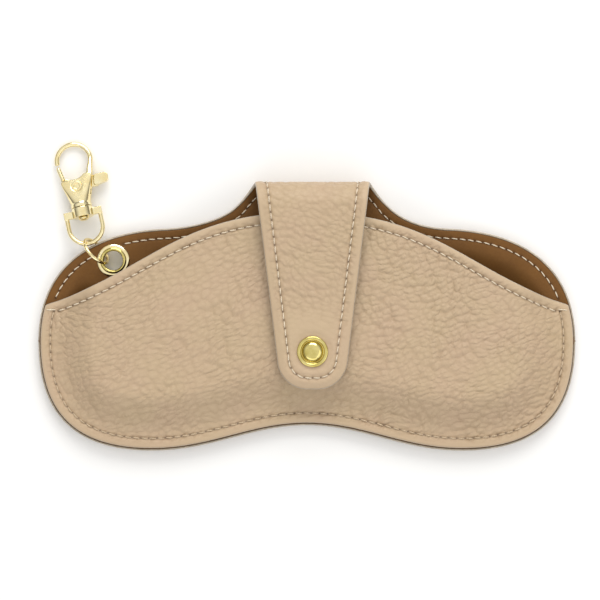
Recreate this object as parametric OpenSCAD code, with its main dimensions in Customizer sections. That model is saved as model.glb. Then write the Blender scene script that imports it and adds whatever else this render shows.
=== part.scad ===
// Soft pouch case for glasses, lying on its back.
// The origin is the middle of the flat part of the back panel.
// +X runs along the case, +Y towards the fold of the flap, +Z up through it.

/* [Outline] */
// Width of the case
case_w = 180; // [156:1:220]
// How far the two lobes reach below the origin
lobe_drop = 44.8; // [38:0.1:56]
// How far the notch between the lobes lies below the origin
notch_drop = 36.3; // [32:0.1:44]
// Where each lobe is lowest, out from the middle
lobe_x = 52; // [40:1:60]
// How far below the origin the case is widest
widest_drop = 8; // [0:1:12]
// Where the back's shoulder levels out, out from the middle
shoulder_x = 47.4; // [42:0.1:58]
// Height of the shoulder above the origin
shoulder_y = 29.6; // [25:0.1:34]
// Height of the fold's start above the origin
fold_y = 37.1; // [35:0.1:46]
// How far the front's edge is set in from the back's
edge_step = 1; // [0.5:0.1:2]
// Height of the front's mouth edge above the origin, in the middle
mouth_y = 34.8; // [30:0.1:36]

/* [Leather] */
// Thickness of the leather
leather_t = 0.9; // [0.7:0.1:1.3]
// Thickness of the lining
lining_t = 0.5; // [0.3:0.1:0.8]
// Layer of glue between two sheets
glue_gap = 0.1; // [0.05:0.05:0.2]
// Height of the back's rim above the table
rim_lift = 3; // [2.5:0.1:5]
// Flat rim of the back panel
back_rim = 6; // [4:0.5:8]
// Width over which the back panel slopes down to the table
back_slope = 10; // [8:0.5:12]
// Flat seam allowance of the front panel
seam_w = 4; // [3:0.5:5]
// How far the front bulges above its seam
bulge = 6.5; // [5.5:0.1:10]
// Width over which the bulge rises
bulge_run = 15; // [11:0.5:15]

/* [Flap] */
// Middle of the flap, to the right of the case's middle
flap_x = 1.8; // [-3:0.1:3]
// Radius of the fold's outer face
fold_r = 7.75; // [7:0.05:9]
// Width of the flap's root, where the fold starts
root_w = 51; // [46:0.5:56]
// Width of the flap at the top of the fold
flap_w = 38.4; // [32:0.1:44]
// Width of the flap across the snap
flap_snap_w = 23.9; // [20:0.1:28]
// How far the flap's tip lies below the snap
flap_tip = 12.4; // [11:0.1:16]
// Corner radius of the flap's tip
tip_r = 10; // [7:0.5:10]
// How far the tip droops past the snap
tip_droop = 0.8; // [0:0.1:1.2]
// Gap left where the flap is split for its hinges
split_gap = 0.3; // [0.2:0.05:0.6]

/* [Stitching] */
// Thickness of the thread
thread_t = 0.5; // [0.3:0.05:0.8]
// Distance of the stitch lines from the edges
stitch_inset = 3.3; // [2.5:0.1:3.6]
// Distance of the flap's stitch lines from its sides
flap_inset = 3.8; // [3:0.1:4.5]
// Width of a bar tack at the mouth's corners
tack_w = 0.9; // [0.6:0.1:1.4]

/* [Snap] */
// How far the snap's centre lies below the origin
snap_drop = 11.2; // [6:0.1:12]
// Diameter of the cap
cap_d = 10.2; // [8:0.1:11]
// Height of the cap's dome above the flap
cap_h = 1.6; // [1.2:0.1:2]
// Diameter of the socket
socket_d = 8.8; // [8:0.1:9.6]
// Gap between the flap and the front at the snap
snap_gap = 2.8; // [2.6:0.1:3.6]
// Diameter of the stud's flange
stud_d = 8; // [7:0.1:9]
// Diameter of the stud's head
head_d = 3.9; // [3.6:0.1:4.1]
// Diameter of the rivet posts
post_d = 2.6; // [2:0.1:2.8]
// Play left between pieces that are pressed together
press_gap = 0.02; // [0.01:0.01:0.05]

/* [Eyelet] */
// Place of the eyelet along the shoulder, as a share of its curve
eyelet_at = 0.72; // [0.66:0.01:0.76]
// Distance of the eyelet's centre from the rim
eyelet_inset = 7.5; // [7:0.1:8]
// Diameter of the eyelet's hole
hole_d = 6.4; // [6.2:0.1:7]
// Diameter of the eyelet's flange and washer
washer_d = 11; // [10:0.1:12]
// Wall of the eyelet's barrel
barrel_t = 0.4; // [0.3:0.05:0.5]

/* [Link ring] */
// Radius of the ring, to the middle of its wire
ring_r = 5.1; // [5:0.1:6.4]
// Diameter of the ring's wire
ring_wire = 1.1; // [0.8:0.1:1.2]
// Direction of the ring across the rim
ring_turn = 131.7; // [126:0.1:136]
// How steeply the ring stands
ring_tilt = 70; // [66:1:76]
// How far past the eyelet's centre the ring crosses its hole
ring_bite = 1; // [0.8:0.1:1.2]
// How far to the side of the eyelet's centre the ring is held
ring_aside = 2.15; // [1.9:0.05:2.3]

/* [Swivel hook] */
// Turn of the hook's long axis from +Y
chain_turn = 12.4; // [6:0.1:20]
// How steeply the hook slopes down to the table
chain_slope = 7; // [5:0.5:8]
// Play between linked and turning pieces
link_gap = 0.15; // [0.1:0.05:0.3]
// Half width of the bail, to the middle of its wire
bail_r = 5.7; // [5.4:0.1:6.6]
// Diameter of the bail's wire
bail_wire = 1.5; // [1.2:0.1:1.7]
// Length of the bail's straight arms
bail_arm = 4.7; // [4:0.1:6]
// Height of the bail's crossbar
bar_h = 2.4; // [2:0.1:3]
// Diameter of the bail's boss and of the hook's collar
boss_d = 7; // [6:0.1:7.6]
// Diameter of the swivel post
swivel_d = 2; // [1.6:0.1:2.4]
// Running clearance of the swivel and of the gate's pivot
run_gap = 0.06; // [0.02:0.01:0.1]
// Distance of the eye's centre from the bail's crossbar
eye_y = 18.2; // [17.8:0.1:20]
// Inner radius of the eye
eye_r = 4.87; // [4.5:0.05:5.2]
// Diameter of the eye's wire
eye_wire = 1.65; // [1.4:0.05:1.9]
// Thickness of the hook's body at the gate
body_t = 3.8; // [3.6:0.1:4.4]
// Distance of the gate's pivot from the crossbar
pivot_y = 9.1; // [8.8:0.1:9.6]
// Diameter of the gate's pin
pin_d = 1.9; // [1.6:0.1:2]
// Diameter of the gate's bar
gate_d = 1.5; // [1.2:0.1:1.6]
// Reach of the thumb tab from the pivot
tab_reach = 10.8; // [9:0.1:12]

/* [Hidden] */
$fn = 48;
tiny = 0.01;

leather_col = [0.80, 0.71, 0.59];
lining_col = [0.46, 0.33, 0.20];
thread_col = [0.93, 0.88, 0.78];
gold_col = [0.86, 0.74, 0.42];
steel_col = [0.75, 0.75, 0.77];

half_w = case_w / 2;
panel_t = leather_t + glue_gap + lining_t;
lining_z = leather_t + glue_gap;

// Heights of the front panel above the back panel's own underside
front_lining_z = panel_t + glue_gap;
front_leather_z = front_lining_z + lining_t + glue_gap;
front_top_z = rim_lift + front_leather_z + leather_t + bulge;

// ---- curves and distances ----

function lerp(a, b, t) = a + (b - a) * t;
function clamp01(t) = max(0, min(1, t));
function smooth(t) = clamp01(t) * clamp01(t) * (3 - 2 * clamp01(t));
function unit(v) = v / norm(v);
function bezier(p, t) =
    p[0] * pow(1 - t, 3) + p[1] * 3 * t * pow(1 - t, 2) + p[2] * 3 * t * t * (1 - t) + p[3] * pow(t, 3);
function flip(path) = [for (i = [len(path) - 1:-1:0]) [-path[i].x, path[i].y]];
function both_sides(right) = concat(flip([for (i = [1:len(right) - 1]) right[i]]), right);
function segment_dist(p, a, b) =
    let (ab = b - a, t = clamp01((p - a) * ab / (ab * ab))) norm(p - a - ab * t);
function path_dist(p, path) = min([for (i = [0:len(path) - 2]) segment_dist(p, path[i], path[i + 1])]);
function tangent(path, i) = unit(path[min(i + 1, len(path) - 1)] - path[max(i - 1, 0)]);
// Moves a path that runs with the panel on its left inwards
function inset(path, d) = [
    for (i = [0:len(path) - 1]) let (t = tangent(path, i)) path[i] + d * [-t.y, t.x]
];

// ---- outline of the back panel, right half ----

notch_curve = [
    [0, -notch_drop], [0.36 * lobe_x, -notch_drop], [0.61 * lobe_x, -lobe_drop], [lobe_x, -lobe_drop]
];
lobe_curve = [
    [lobe_x, -lobe_drop], [lerp(lobe_x, half_w, 0.73), -lobe_drop],
    [half_w, -lerp(widest_drop, lobe_drop, 0.62)], [half_w, -widest_drop]
];
shoulder_curve = [
    [half_w, -widest_drop], [half_w, lerp(-widest_drop, shoulder_y, 0.62)],
    [lerp(shoulder_x, half_w, 0.64), shoulder_y - 1], [shoulder_x, shoulder_y]
];
function neck_curve(side) = let (x = root_w / 2 + side * flap_x) [
    [shoulder_x, shoulder_y], [shoulder_x - 9, shoulder_y + 0.4],
    [x + 4.5, fold_y - 4.5], [x, fold_y]
];

low_right = concat(
    [for (i = [0:8]) bezier(notch_curve, i / 8)],
    [for (i = [1:12]) bezier(lobe_curve, i / 12)]
);
function top_right(side) = concat(
    [for (i = [0:3]) [(root_w / 2 + side * flap_x) * i / 4, fold_y]],
    [for (i = [6:-1:0]) bezier(neck_curve(side), i / 6)],
    [for (i = [9:-1:0]) bezier(shoulder_curve, lerp(0.05, 1, i / 10))]
);
back_low = both_sides(low_right);
back_top = concat(flip([for (i = [1:20]) top_right(-1)[i]]), top_right(1));
back_edge = concat(back_low, [for (i = [len(back_top) - 1:-1:0]) back_top[i]], [back_low[0]]);

// ---- outline of the front panel ----

// Share of the shoulder curve at which the front's sewn edge ends
front_end = 0.19;
front_low = inset(
    both_sides(concat(low_right, [for (i = [1:4]) bezier(shoulder_curve, front_end * i / 4)])),
    edge_step
);
front_corner = front_low[len(front_low) - 1] + [-0.9, 0.5];
mouth_curve = [
    [0, mouth_y], [lerp(0, front_corner.x, 0.5), mouth_y],
    [lerp(0, front_corner.x, 0.62), lerp(front_corner.y, mouth_y, 0.32)], front_corner
];
mouth_right = concat(
    [for (i = [0:8]) bezier(mouth_curve, 0.52 * i / 8)],
    [for (i = [1:12]) bezier(mouth_curve, lerp(0.52, 0.96, i / 12))],
    [for (i = [1:4]) bezier(mouth_curve, lerp(0.96, 1, i / 4))]
);
front_mouth = both_sides(mouth_right);

// ---- eyelet, ring and hook frames ----

eyelet_rim = bezier(shoulder_curve, eyelet_at);
rim_dir = unit(bezier(shoulder_curve, eyelet_at + tiny) - bezier(shoulder_curve, eyelet_at - tiny));
eyelet_c = [-(eyelet_rim.x - eyelet_inset * rim_dir.y), eyelet_rim.y + eyelet_inset * rim_dir.x];
pad_r = washer_d / 2 + 4.5;
pad_slope = 6;

ring_a = [cos(ring_turn), sin(ring_turn)];
ring_xy = eyelet_c + (ring_r + ring_bite) * ring_a + ring_aside * [-ring_a.y, ring_a.x];
ring_c = [ring_xy.x, ring_xy.y, ring_r * sin(ring_tilt) + ring_wire / 2 + link_gap];
ring_axis = [sin(ring_turn) * sin(ring_tilt), -cos(ring_turn) * sin(ring_tilt), cos(ring_tilt)];
// How squarely the bail's wire passes through the ring
link_square = ring_axis * [cos(chain_turn), sin(chain_turn), 0];
link_at = ring_r - ring_wire / 2 - bail_wire / 2 / link_square - link_gap;
chain_dir = [
    -sin(chain_turn) * cos(chain_slope), cos(chain_turn) * cos(chain_slope), -sin(chain_slope)
];
chain_c = ring_c + link_at * [ring_a.x, ring_a.y, 0] + (bail_arm + bail_r) * chain_dir;

module in_ring() {
    translate(ring_c) rotate([ring_tilt, 0, ring_turn]) children();
}

module in_chain() {
    translate(chain_c) rotate([-chain_slope, 0, chain_turn]) children();
}

module at_eyelet() {
    translate([eyelet_c.x, eyelet_c.y, rim_lift]) children();
}

// ---- heights of the two panels ----

function back_z(p) =
    let (rim = 1 - smooth((path_dist(p, back_edge) - back_rim) / back_slope),
         pad = 1 - smooth((norm(p - eyelet_c) - pad_r) / pad_slope))
    rim_lift * (1 - (1 - rim) * (1 - pad));
function front_z(p) = rim_lift + bulge * smooth((path_dist(p, front_low) - seam_w) / bulge_run);

back_rows = [0, 0.06, 0.1, 0.14, 0.18, 0.22, 0.28, 0.4, 0.6, 0.72, 0.78, 0.82, 0.86, 0.9, 0.94, 1];
front_rows = [0, 0.05, 0.09, 0.13, 0.17, 0.21, 0.25, 0.28, 0.4, 0.6, 0.8, 1];

back_grid = [
    for (i = [0:len(back_low) - 1]) [
        for (v = back_rows) let (p = lerp(back_low[i], back_top[i], v)) [p.x, p.y, back_z(p)]
    ]
];
front_grid = [
    for (i = [0:len(front_low) - 1]) [
        for (v = front_rows) let (p = lerp(front_low[i], front_mouth[i], v)) [p.x, p.y, front_z(p)]
    ]
];
function raised(grid, h) = [for (row = grid) [for (p = row) p + [0, 0, h]]];

// ---- a closed slab between two grids of points ----

module slab(low, high) {
    m = len(low);
    n = len(low[0]);
    k = m * n;
    function id(i, j) = i * n + j;
    quads = concat(
        [for (i = [0:m - 2], j = [0:n - 2]) [id(i, j), id(i + 1, j), id(i + 1, j + 1), id(i, j + 1)]],
        [for (i = [0:m - 2], j = [0:n - 2])
            [k + id(i, j), k + id(i, j + 1), k + id(i + 1, j + 1), k + id(i + 1, j)]],
        [for (i = [0:m - 2]) [id(i, 0), k + id(i, 0), k + id(i + 1, 0), id(i + 1, 0)]],
        [for (i = [0:m - 2]) [id(i, n - 1), id(i + 1, n - 1), k + id(i + 1, n - 1), k + id(i, n - 1)]],
        [for (j = [0:n - 2]) [id(0, j), id(0, j + 1), k + id(0, j + 1), k + id(0, j)]],
        [for (j = [0:n - 2]) [id(m - 1, j), k + id(m - 1, j), k + id(m - 1, j + 1), id(m - 1, j + 1)]]
    );
    triangles = [for (q = quads) each [[q[0], q[1], q[2]], [q[0], q[2], q[3]]]];
    polyhedron(points = concat([for (row = low) each row], [for (row = high) each row]), faces = triangles);
}

// ---- profile of the fold and the flap ----

fold_mid_r = fold_r - panel_t / 2;
fold_z = rim_lift + fold_r;
flap_top_z = rim_lift + 2 * fold_r;
snap_top_z = front_top_z + snap_gap + panel_t;
snap_c = [flap_x, -snap_drop];
snap_flat = cap_d / 2 + 1.4;
fold_len = PI * fold_mid_r;
tip_y = -snap_drop - flap_tip;

// Half width of the flap at a distance along it from the fold's start
flap_taper = (flap_w - flap_snap_w) / 2 / (fold_len / 2 + fold_y + snap_drop);
function straight_half(u) = flap_w / 2 - flap_taper * (u - fold_len / 2);
root_flare = root_w / 2 - straight_half(0);
function flap_half(u) = straight_half(u) + root_flare * pow(1 - clamp01(u / (fold_len / 2)), 2);

// Height of the flap's outer face at a place past the fold
function flap_z(y) =
    let (down = smooth((fold_y - y) / (fold_y + snap_drop - snap_flat)),
         past = max(0, -snap_drop - snap_flat - y) / (flap_tip - snap_flat))
    lerp(flap_top_z, snap_top_z, down) - tip_droop * past * past;

// A station is [half width, y, z, normal y, normal z] on the outer face
function fold_station(angle) =
    [flap_half(fold_mid_r * angle * PI / 180), fold_y + fold_r * sin(angle), fold_z - fold_r * cos(angle),
     sin(angle), -cos(angle)];
function flap_station(y) = [flap_half(fold_len + fold_y - y), y, flap_z(y), 0, 1];
side_angle = atan(flap_taper);
round_y = tip_y + tip_r - tip_r * sin(side_angle);
round_x = flap_half(fold_len + fold_y - round_y) - tip_r * cos(side_angle);
function tip_station(angle) =
    let (y = tip_y + tip_r - tip_r * sin(angle)) [round_x + tip_r * cos(angle), y, flap_z(y), 0, 1];

split_half = split_gap / 2 / fold_mid_r * 180 / PI;
function fold_arc(from, to, steps) = [for (i = [0:steps]) fold_station(lerp(from, to, i / steps))];
root_stations = fold_arc(0, 45 - split_half, 5);
fold_stations = fold_arc(45 + split_half, 135 - split_half, 8);
flap_sides = [for (i = [1:12]) flap_station(lerp(fold_y, round_y, i / 12))];
flap_stations = concat(
    fold_arc(135 + split_half, 180, 5),
    flap_sides,
    [for (i = [1:9]) tip_station(lerp(side_angle, 90, i / 9))]
);
function edge_point(s, depth, side, in_by) =
    [flap_x + side * (s[0] - in_by), s[1] - depth * s[3], s[2] - depth * s[4]];
function strip_grid(stations, depth) = [for (s = stations) [for (side = [-1, 1]) edge_point(s, depth, side, 0)]];

module strip(stations, from, to) {
    slab(strip_grid(stations, to), strip_grid(stations, from));
}

// ---- threads: a flat ribbon that lies on a face ----

function across(a, b) = unit(cross(a, b));
module ribbon(path, normals) {
    last = len(path) - 1;
    sides = [for (i = [0:last]) across(path[min(i + 1, last)] - path[max(i - 1, 0)], normals[i])];
    function at(i, h) = [for (s = [1, -1]) path[i] + s * thread_t / 2 * sides[i] + h * normals[i]];
    slab([for (i = [0:last]) at(i, 0)], [for (i = [0:last]) at(i, thread_t)]);
}

module flat_ribbon(path, z) {
    ribbon([for (p = path) [p.x, p.y, z]], [for (p = path) [0, 0, 1]]);
}

function up_normal(s) = [0, s[3], s[4]];
thread_lift = 0.1;

// ---- panels ----

module hole_at(c, d) {
    translate([c.x, c.y, -1]) cylinder(d = d, h = flap_top_z + 2);
}

module back_sheet(from, to) {
    difference() {
        union() {
            slab(raised(back_grid, from), raised(back_grid, to));
            strip(root_stations, from, to);
        }
        hole_at(eyelet_c, hole_d + 2 * (barrel_t + press_gap));
    }
}

module back_leather() {
    color(leather_col) back_sheet(0, leather_t);
}

module back_lining() {
    color(lining_col) back_sheet(lining_z, panel_t);
}

module front_sheet(from, to) {
    difference() {
        slab(raised(front_grid, from), raised(front_grid, to));
        hole_at(snap_c, post_d + 2 * press_gap);
    }
}

module front_leather() {
    color(leather_col) front_sheet(front_leather_z, front_leather_z + leather_t);
}

module front_lining() {
    color(lining_col) front_sheet(front_lining_z, front_lining_z + lining_t);
}

module fold_leather() {
    color(leather_col) strip(fold_stations, 0, leather_t);
}

module fold_lining() {
    color(lining_col) strip(fold_stations, lining_z, panel_t);
}

module flap_leather() {
    color(leather_col) difference() {
        strip(flap_stations, 0, leather_t);
        hole_at(snap_c, post_d + 2 * press_gap);
    }
}

module flap_lining() {
    color(lining_col) difference() {
        strip(flap_stations, lining_z, panel_t);
        hole_at(snap_c, post_d + 2 * press_gap);
    }
}

// ---- stitching ----

seam_z = rim_lift + front_leather_z + leather_t + thread_lift;
rim_z = rim_lift + panel_t + thread_lift;

module seam_thread() {
    seam = inset(front_low, stitch_inset);
    color(thread_col) flat_ribbon([for (i = [1:len(seam) - 2]) seam[i]], seam_z);
}

// Height of the front's face under a thread, at the highest place across its width
function under_thread(p, out) =
    max([for (k = [-1:1]) front_z(p + k * thread_t * out)]) + front_leather_z + leather_t;

module mouth_thread() {
    m = len(front_mouth) - 1;
    line = [
        for (i = [3:m - 3])
            let (t = tangent(front_mouth, i), out = [t.y, -t.x], p = front_mouth[i] + stitch_inset * out)
            [p.x, p.y, under_thread(p, out) + 2 * thread_lift]
    ];
    color(thread_col) ribbon(line, [for (p = line) [0, 0, 1]]);
}

// One side of the back's rim, from the front's corner up to the fold
function rim_line(side) = let (
    edge = concat(
        [for (i = [0:12]) bezier(shoulder_curve, lerp(front_end + 0.06, 1, i / 12))],
        [for (i = [1:6]) bezier(neck_curve(side), i / 6)]
    ),
    line = inset(edge, stitch_inset)
) [for (p = line) [side * p.x, p.y]];

module rim_thread() {
    clear = washer_d / 2 + thread_t;
    left = rim_line(-1);
    outer = [for (p = left) if (p.x < eyelet_c.x && norm(p - eyelet_c) > clear) p];
    inner = [for (p = left) if (p.x > eyelet_c.x && norm(p - eyelet_c) > clear) p];
    color(thread_col) {
        flat_ribbon(rim_line(1), rim_z);
        flat_ribbon(outer, rim_z);
        flat_ribbon(inner, rim_z);
    }
}

// How far the fold's threads stop short of the hinges, so that they stay apart when it opens
thread_back = 6;
function side_line(stations, side) = [for (s = stations) edge_point(s, -thread_lift, side, flap_inset)];

module fold_thread() {
    stations = fold_arc(45 + split_half + thread_back, 135 - split_half - thread_back, 7);
    color(thread_col) for (side = [-1, 1])
        ribbon(side_line(stations, side), [for (s = stations) up_normal(s)]);
}

module flap_thread() {
    sides = concat(fold_arc(135 + split_half + thread_back, 180, 4), flap_sides);
    inner_r = tip_r - flap_inset;
    bend = [
        for (i = [1:8])
            let (a = lerp(side_angle, 90, i / 9), y = tip_y + tip_r - inner_r * sin(a))
            [round_x + inner_r * cos(a), y, flap_z(y) + thread_lift]
    ];
    right = concat(side_line(sides, 1), [for (p = bend) p + [flap_x, 0, 0]]);
    left = concat(side_line(sides, -1), [for (p = bend) [flap_x - p.x, p.y, p.z]]);
    line = concat(right, [for (i = [len(left) - 1:-1:0]) left[i]]);
    n = [for (s = sides) up_normal(s)];
    flat = [for (p = bend) [0, 0, 1]];
    color(thread_col) ribbon(line, concat(n, flat, flat, [for (i = [len(n) - 1:-1:0]) n[i]]));
}

module bar_tacks() {
    end = front_low[len(front_low) - 1];
    color(thread_col) for (side = [-1, 1])
        translate([side * (end.x - stitch_inset / 2 - 1), end.y - 1.4, seam_z + thread_t])
            cube([stitch_inset - 1, tack_w, thread_t], center = true);
}

// ---- snap ----

// A turned piece from its profile of [radius, height] points
module turned(profile) {
    rotate_extrude() polygon(profile);
}

base_t = 0.5;
wall_t = 0.4;
bead_gap = 0.22;
spring_wire = 0.5;
spring_r = head_d / 2 + bead_gap + spring_wire / 2;
socket_low = 0.6;

module on_snap(z) {
    translate([snap_c.x, snap_c.y, z]) children();
}

module snap_cap() {
    r = cap_d / 2;
    foot = -panel_t - base_t - 0.3;
    color(gold_col) on_snap(snap_top_z) {
        turned([
            [0, 0], [r - 0.15, 0], [r, 0.15], [r, 0.4], [r - 0.25, 0.65], [r - 1.1, 0.7],
            [r - 1.35, 0.35], [r - 1.8, 0.35], [r - 2.1, 0.9], [r - 3.1, cap_h - 0.2], [0, cap_h]
        ]);
        translate([0, 0, foot]) cylinder(d = post_d, h = -foot);
        translate([0, 0, foot]) cylinder(d = post_d + 1, h = 0.3 - press_gap);
    }
}

module snap_socket() {
    r = socket_d / 2;
    cavity = spring_r + spring_wire / 2 + 0.1;
    top = snap_gap - socket_low;
    color(steel_col) on_snap(front_top_z + socket_low) difference() {
        turned([[0, 0], [r - 0.6, 0], [r, 0.5], [r, top - 0.2], [r - 0.2, top], [0, top]]);
        translate([0, 0, -1]) cylinder(r = cavity, h = top - base_t + 1);
        cylinder(d = post_d + 2 * press_gap, h = top + 1);
    }
}

module snap_spring() {
    color(steel_col) on_snap(front_top_z + socket_low + 0.1 + spring_wire / 2)
        rotate_extrude() translate([spring_r, 0]) circle(d = spring_wire, $fn = 24);
}

module snap_stud() {
    r = head_d / 2;
    top = snap_gap - base_t - 0.5;
    color(steel_col) on_snap(front_top_z) difference() {
        turned([
            [0, 0], [stud_d / 2, 0], [stud_d / 2, 0.25], [stud_d / 2 - 0.4, wall_t], [r - 0.35, wall_t],
            [r - 0.35, top - 0.75], [r, top - 0.5], [r, top - 0.3], [r - 0.4, top], [0, top]
        ]);
        translate([0, 0, -1]) cylinder(d = post_d + 2 * press_gap, h = top - 0.3 + 1);
    }
}

module snap_post() {
    shank = panel_t + snap_gap - base_t - 1.0;
    color(steel_col) on_snap(front_top_z - panel_t) {
        translate([0, 0, -wall_t]) cylinder(d = stud_d, h = wall_t);
        cylinder(d = post_d, h = shank);
    }
}

// ---- eyelet ----

lip_r = 0.6;

module eyelet() {
    r = hole_d / 2;
    top = panel_t + base_t + press_gap;
    color(gold_col) at_eyelet() {
        difference() {
            union() {
                translate([0, 0, -base_t]) cylinder(d = washer_d, h = base_t);
                cylinder(r = r + barrel_t, h = top + lip_r);
            }
            translate([0, 0, -1]) cylinder(r = r, h = top + lip_r + 2);
        }
        translate([0, 0, top]) rotate_extrude() difference() {
            translate([r + lip_r, 0]) circle(r = lip_r);
            translate([r, -lip_r]) square([2 * lip_r, lip_r]);
        }
    }
}

module eyelet_washer() {
    outer = washer_d / 2;
    inner = hole_d / 2 + barrel_t + press_gap;
    color(gold_col) at_eyelet() translate([0, 0, panel_t])
        turned([[inner, 0], [outer, 0], [outer, 0.2], [outer - 0.3, base_t], [inner, base_t]]);
}

// ---- ring and bail ----

module wire_ring(r, d, angle = 360) {
    rotate_extrude(angle = angle) translate([r, 0]) circle(d = d);
}

module link_ring() {
    color(gold_col) in_ring() wire_ring(ring_r, ring_wire);
}

boss_low = -1.3;
boss_top = 1.9;
collar_low = boss_top + link_gap;
collar_top = collar_low + 1.2;
crossbar_t = 1.8;

module along(y) {
    translate([0, y, 0]) rotate([-90, 0, 0]) children();
}

module swivel_bail() {
    color(gold_col) in_chain() difference() {
        union() {
            translate([0, -bail_arm, 0]) rotate([0, 0, 180]) wire_ring(bail_r, bail_wire, 180);
            for (side = [-1, 1]) translate([side * bail_r, 0, 0])
                along(-bail_arm) cylinder(d = bail_wire, h = bail_arm);
            cube([2 * bail_r + bail_wire, bar_h, crossbar_t], center = true);
            along(boss_low) cylinder(d = boss_d, h = boss_top - boss_low);
        }
        along(boss_low - 1) cylinder(d = swivel_d + 2 * run_gap, h = boss_top - boss_low + 2);
    }
}

post_seat = collar_top + 1.6;

module swivel_post() {
    head_h = 1;
    color(gold_col) in_chain() {
        along(boss_low - link_gap) cylinder(d = swivel_d, h = post_seat - boss_low + link_gap);
        along(boss_low - link_gap - head_h)
            turned([[0, 0], [1, 0], [1.75, 0.5], [1.75, head_h], [0, head_h]]);
    }
}

// ---- hook ----

// Corners of the body's two cheeks beside the gate, and their rounding
left_cheek = [-4.1, 10.8];
right_cheek = [4.6, 12.2];
cheek_d = 2;
eye_x = 0.46;
eye_mid = eye_r + eye_wire / 2;
// How far the eye's wire runs on past its half circle, in degrees
eye_past = 4;
slot_low = 5.8;
slot_top = 12.4;
slot_t = 2.2;
cheek_top = 11.65;
counter_z = body_t / 2;
rivet_d = 3.4;
rivet_h = 0.5;

module round_post(x, y, d, h) {
    translate([x, y, 0]) cylinder(d = d, h = h, center = true, $fn = 32);
}

module eye_opening() {
    linear_extrude(height = 20, center = true) {
        hull() {
            translate([eye_x, eye_y]) circle(r = eye_r);
            translate([eye_x - 0.4, eye_y - 2.9]) circle(r = eye_r - 1.2);
        }
        translate([-9, cheek_top]) square([9, eye_y - cheek_top - 0.6]);
    }
}

module hook_shell() {
    along(collar_low) cylinder(d = boss_d, h = collar_top - collar_low);
    hull() {
        along(collar_top - tiny) cylinder(d = boss_d - 0.4, h = 0.4, $fn = 32);
        round_post(left_cheek.x, left_cheek.y, cheek_d, body_t);
        round_post(right_cheek.x, right_cheek.y, cheek_d, body_t);
    }
    difference() {
        hull() {
            round_post(right_cheek.x, right_cheek.y, cheek_d, body_t - 0.2);
            translate([eye_x + eye_mid, eye_y, 0]) sphere(d = eye_wire, $fn = 24);
        }
        translate([-10, 0, -5]) cube([20, slot_top, 10]);
    }
    translate([eye_x, eye_y, 0]) rotate([0, 0, -eye_past]) wire_ring(eye_mid, eye_wire, 180 + 2 * eye_past);
}

module hook_body() {
    color(gold_col) in_chain() difference() {
        hook_shell();
        eye_opening();
        translate([-10, slot_low, -slot_t / 2]) cube([20, slot_top - slot_low, slot_t]);
        along(0) cylinder(d = swivel_d + 2 * press_gap, h = post_seat + tiny);
        translate([0, pivot_y, -5]) cylinder(d = pin_d + 2 * press_gap, h = 10);
        for (side = [0, 1]) translate([0, pivot_y, 0]) mirror([0, 0, side])
            translate([0, 0, counter_z]) cylinder(d = rivet_d + 2 * press_gap, h = 4);
    }
}

module gate_pin() {
    color(gold_col) in_chain() translate([0, pivot_y, 0]) difference() {
        union() {
            cylinder(d = pin_d, h = 2 * counter_z, center = true);
            for (side = [0, 1]) mirror([0, 0, side]) translate([0, 0, counter_z])
                cylinder(d = rivet_d, h = rivet_h);
        }
        for (side = [0, 1]) mirror([0, 0, side]) translate([0, 0, counter_z + 0.15])
            cylinder(d = pin_d, h = rivet_h);
    }
}

lever_low = -1;
lever_top = 0.3;
lever_t = lever_top - lever_low;

module gate_spring() {
    wire = 0.3;
    r = pin_d / 2 + 0.45;
    color(steel_col) in_chain() translate([0, pivot_y, lever_top + 0.06]) {
        for (turn = [0, 1]) translate([0, 0, wire * (0.5 + turn)]) wire_ring(r, wire + tiny);
        translate([r, 0, wire / 2]) rotate([90, 0, 0]) cylinder(d = wire, h = 2.6);
        translate([-r, 0, wire * 1.5]) rotate([-90, 0, 0]) cylinder(d = wire, h = 1.8);
    }
}

gate_foot = [-4.35, 12.6];
gate_end = [-5.12, eye_y - 1.8];
hub_d = 4;
// Corners of the lever's arm towards the thumb tab, and their rounding
arm_low = [4.6, pivot_y - 0.2];
arm_high = [5, pivot_y + 2.2];
arm_d = 1.5;
// Corners of the tab, from the arm to its outer edge
tab_root = [[6.5, pivot_y + 0.1], [6.9, pivot_y + 2.3]];
tab_root_d = 1.6;
tab_end = [[tab_reach - 1.2, pivot_y + 1], [tab_reach - 1.1, pivot_y + 2]];
tab_end_d = 2.2;
tab_t = 2;
// Height of the bar that joins the arm to the tab
arm_bridge = 3.9;

module rounded_spots(points, d) {
    for (p = points) translate(p) circle(d = d);
}

module lever_plate() {
    hull() {
        translate([0, pivot_y]) circle(d = hub_d);
        translate([gate_foot.x, gate_foot.y - 0.4]) circle(d = gate_d);
    }
    hull() {
        translate([0, pivot_y]) circle(d = hub_d - 0.6);
        rounded_spots([arm_low, arm_high], arm_d);
    }
}

module gate_tab() {
    hull() {
        rounded_spots(tab_root, tab_root_d);
        rounded_spots(tab_end, tab_end_d);
    }
}

gate_lean = atan2(gate_foot.x - gate_end.x, gate_end.y - gate_foot.y);

module gate_lever() {
    color(gold_col) in_chain() difference() {
        union() {
            translate([0, 0, lever_low]) linear_extrude(height = lever_t) {
                lever_plate();
                translate([arm_high.x, arm_low.y - arm_d / 2]) square([tab_root[1].x - arm_high.x, arm_bridge]);
            }
            translate([0, 0, lever_low]) linear_extrude(height = tab_t) gate_tab();
            translate([gate_foot.x, gate_foot.y, 0]) rotate([0, 0, gate_lean]) rotate([-90, 0, 0])
                cylinder(d = gate_d, h = norm(gate_end - gate_foot));
            translate([gate_foot.x, gate_foot.y, 0]) sphere(d = gate_d);
            translate([gate_end.x, gate_end.y, 0]) sphere(d = gate_d);
        }
        translate([0, pivot_y, -5]) cylinder(d = pin_d + 2 * run_gap, h = 10);
    }
}

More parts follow.
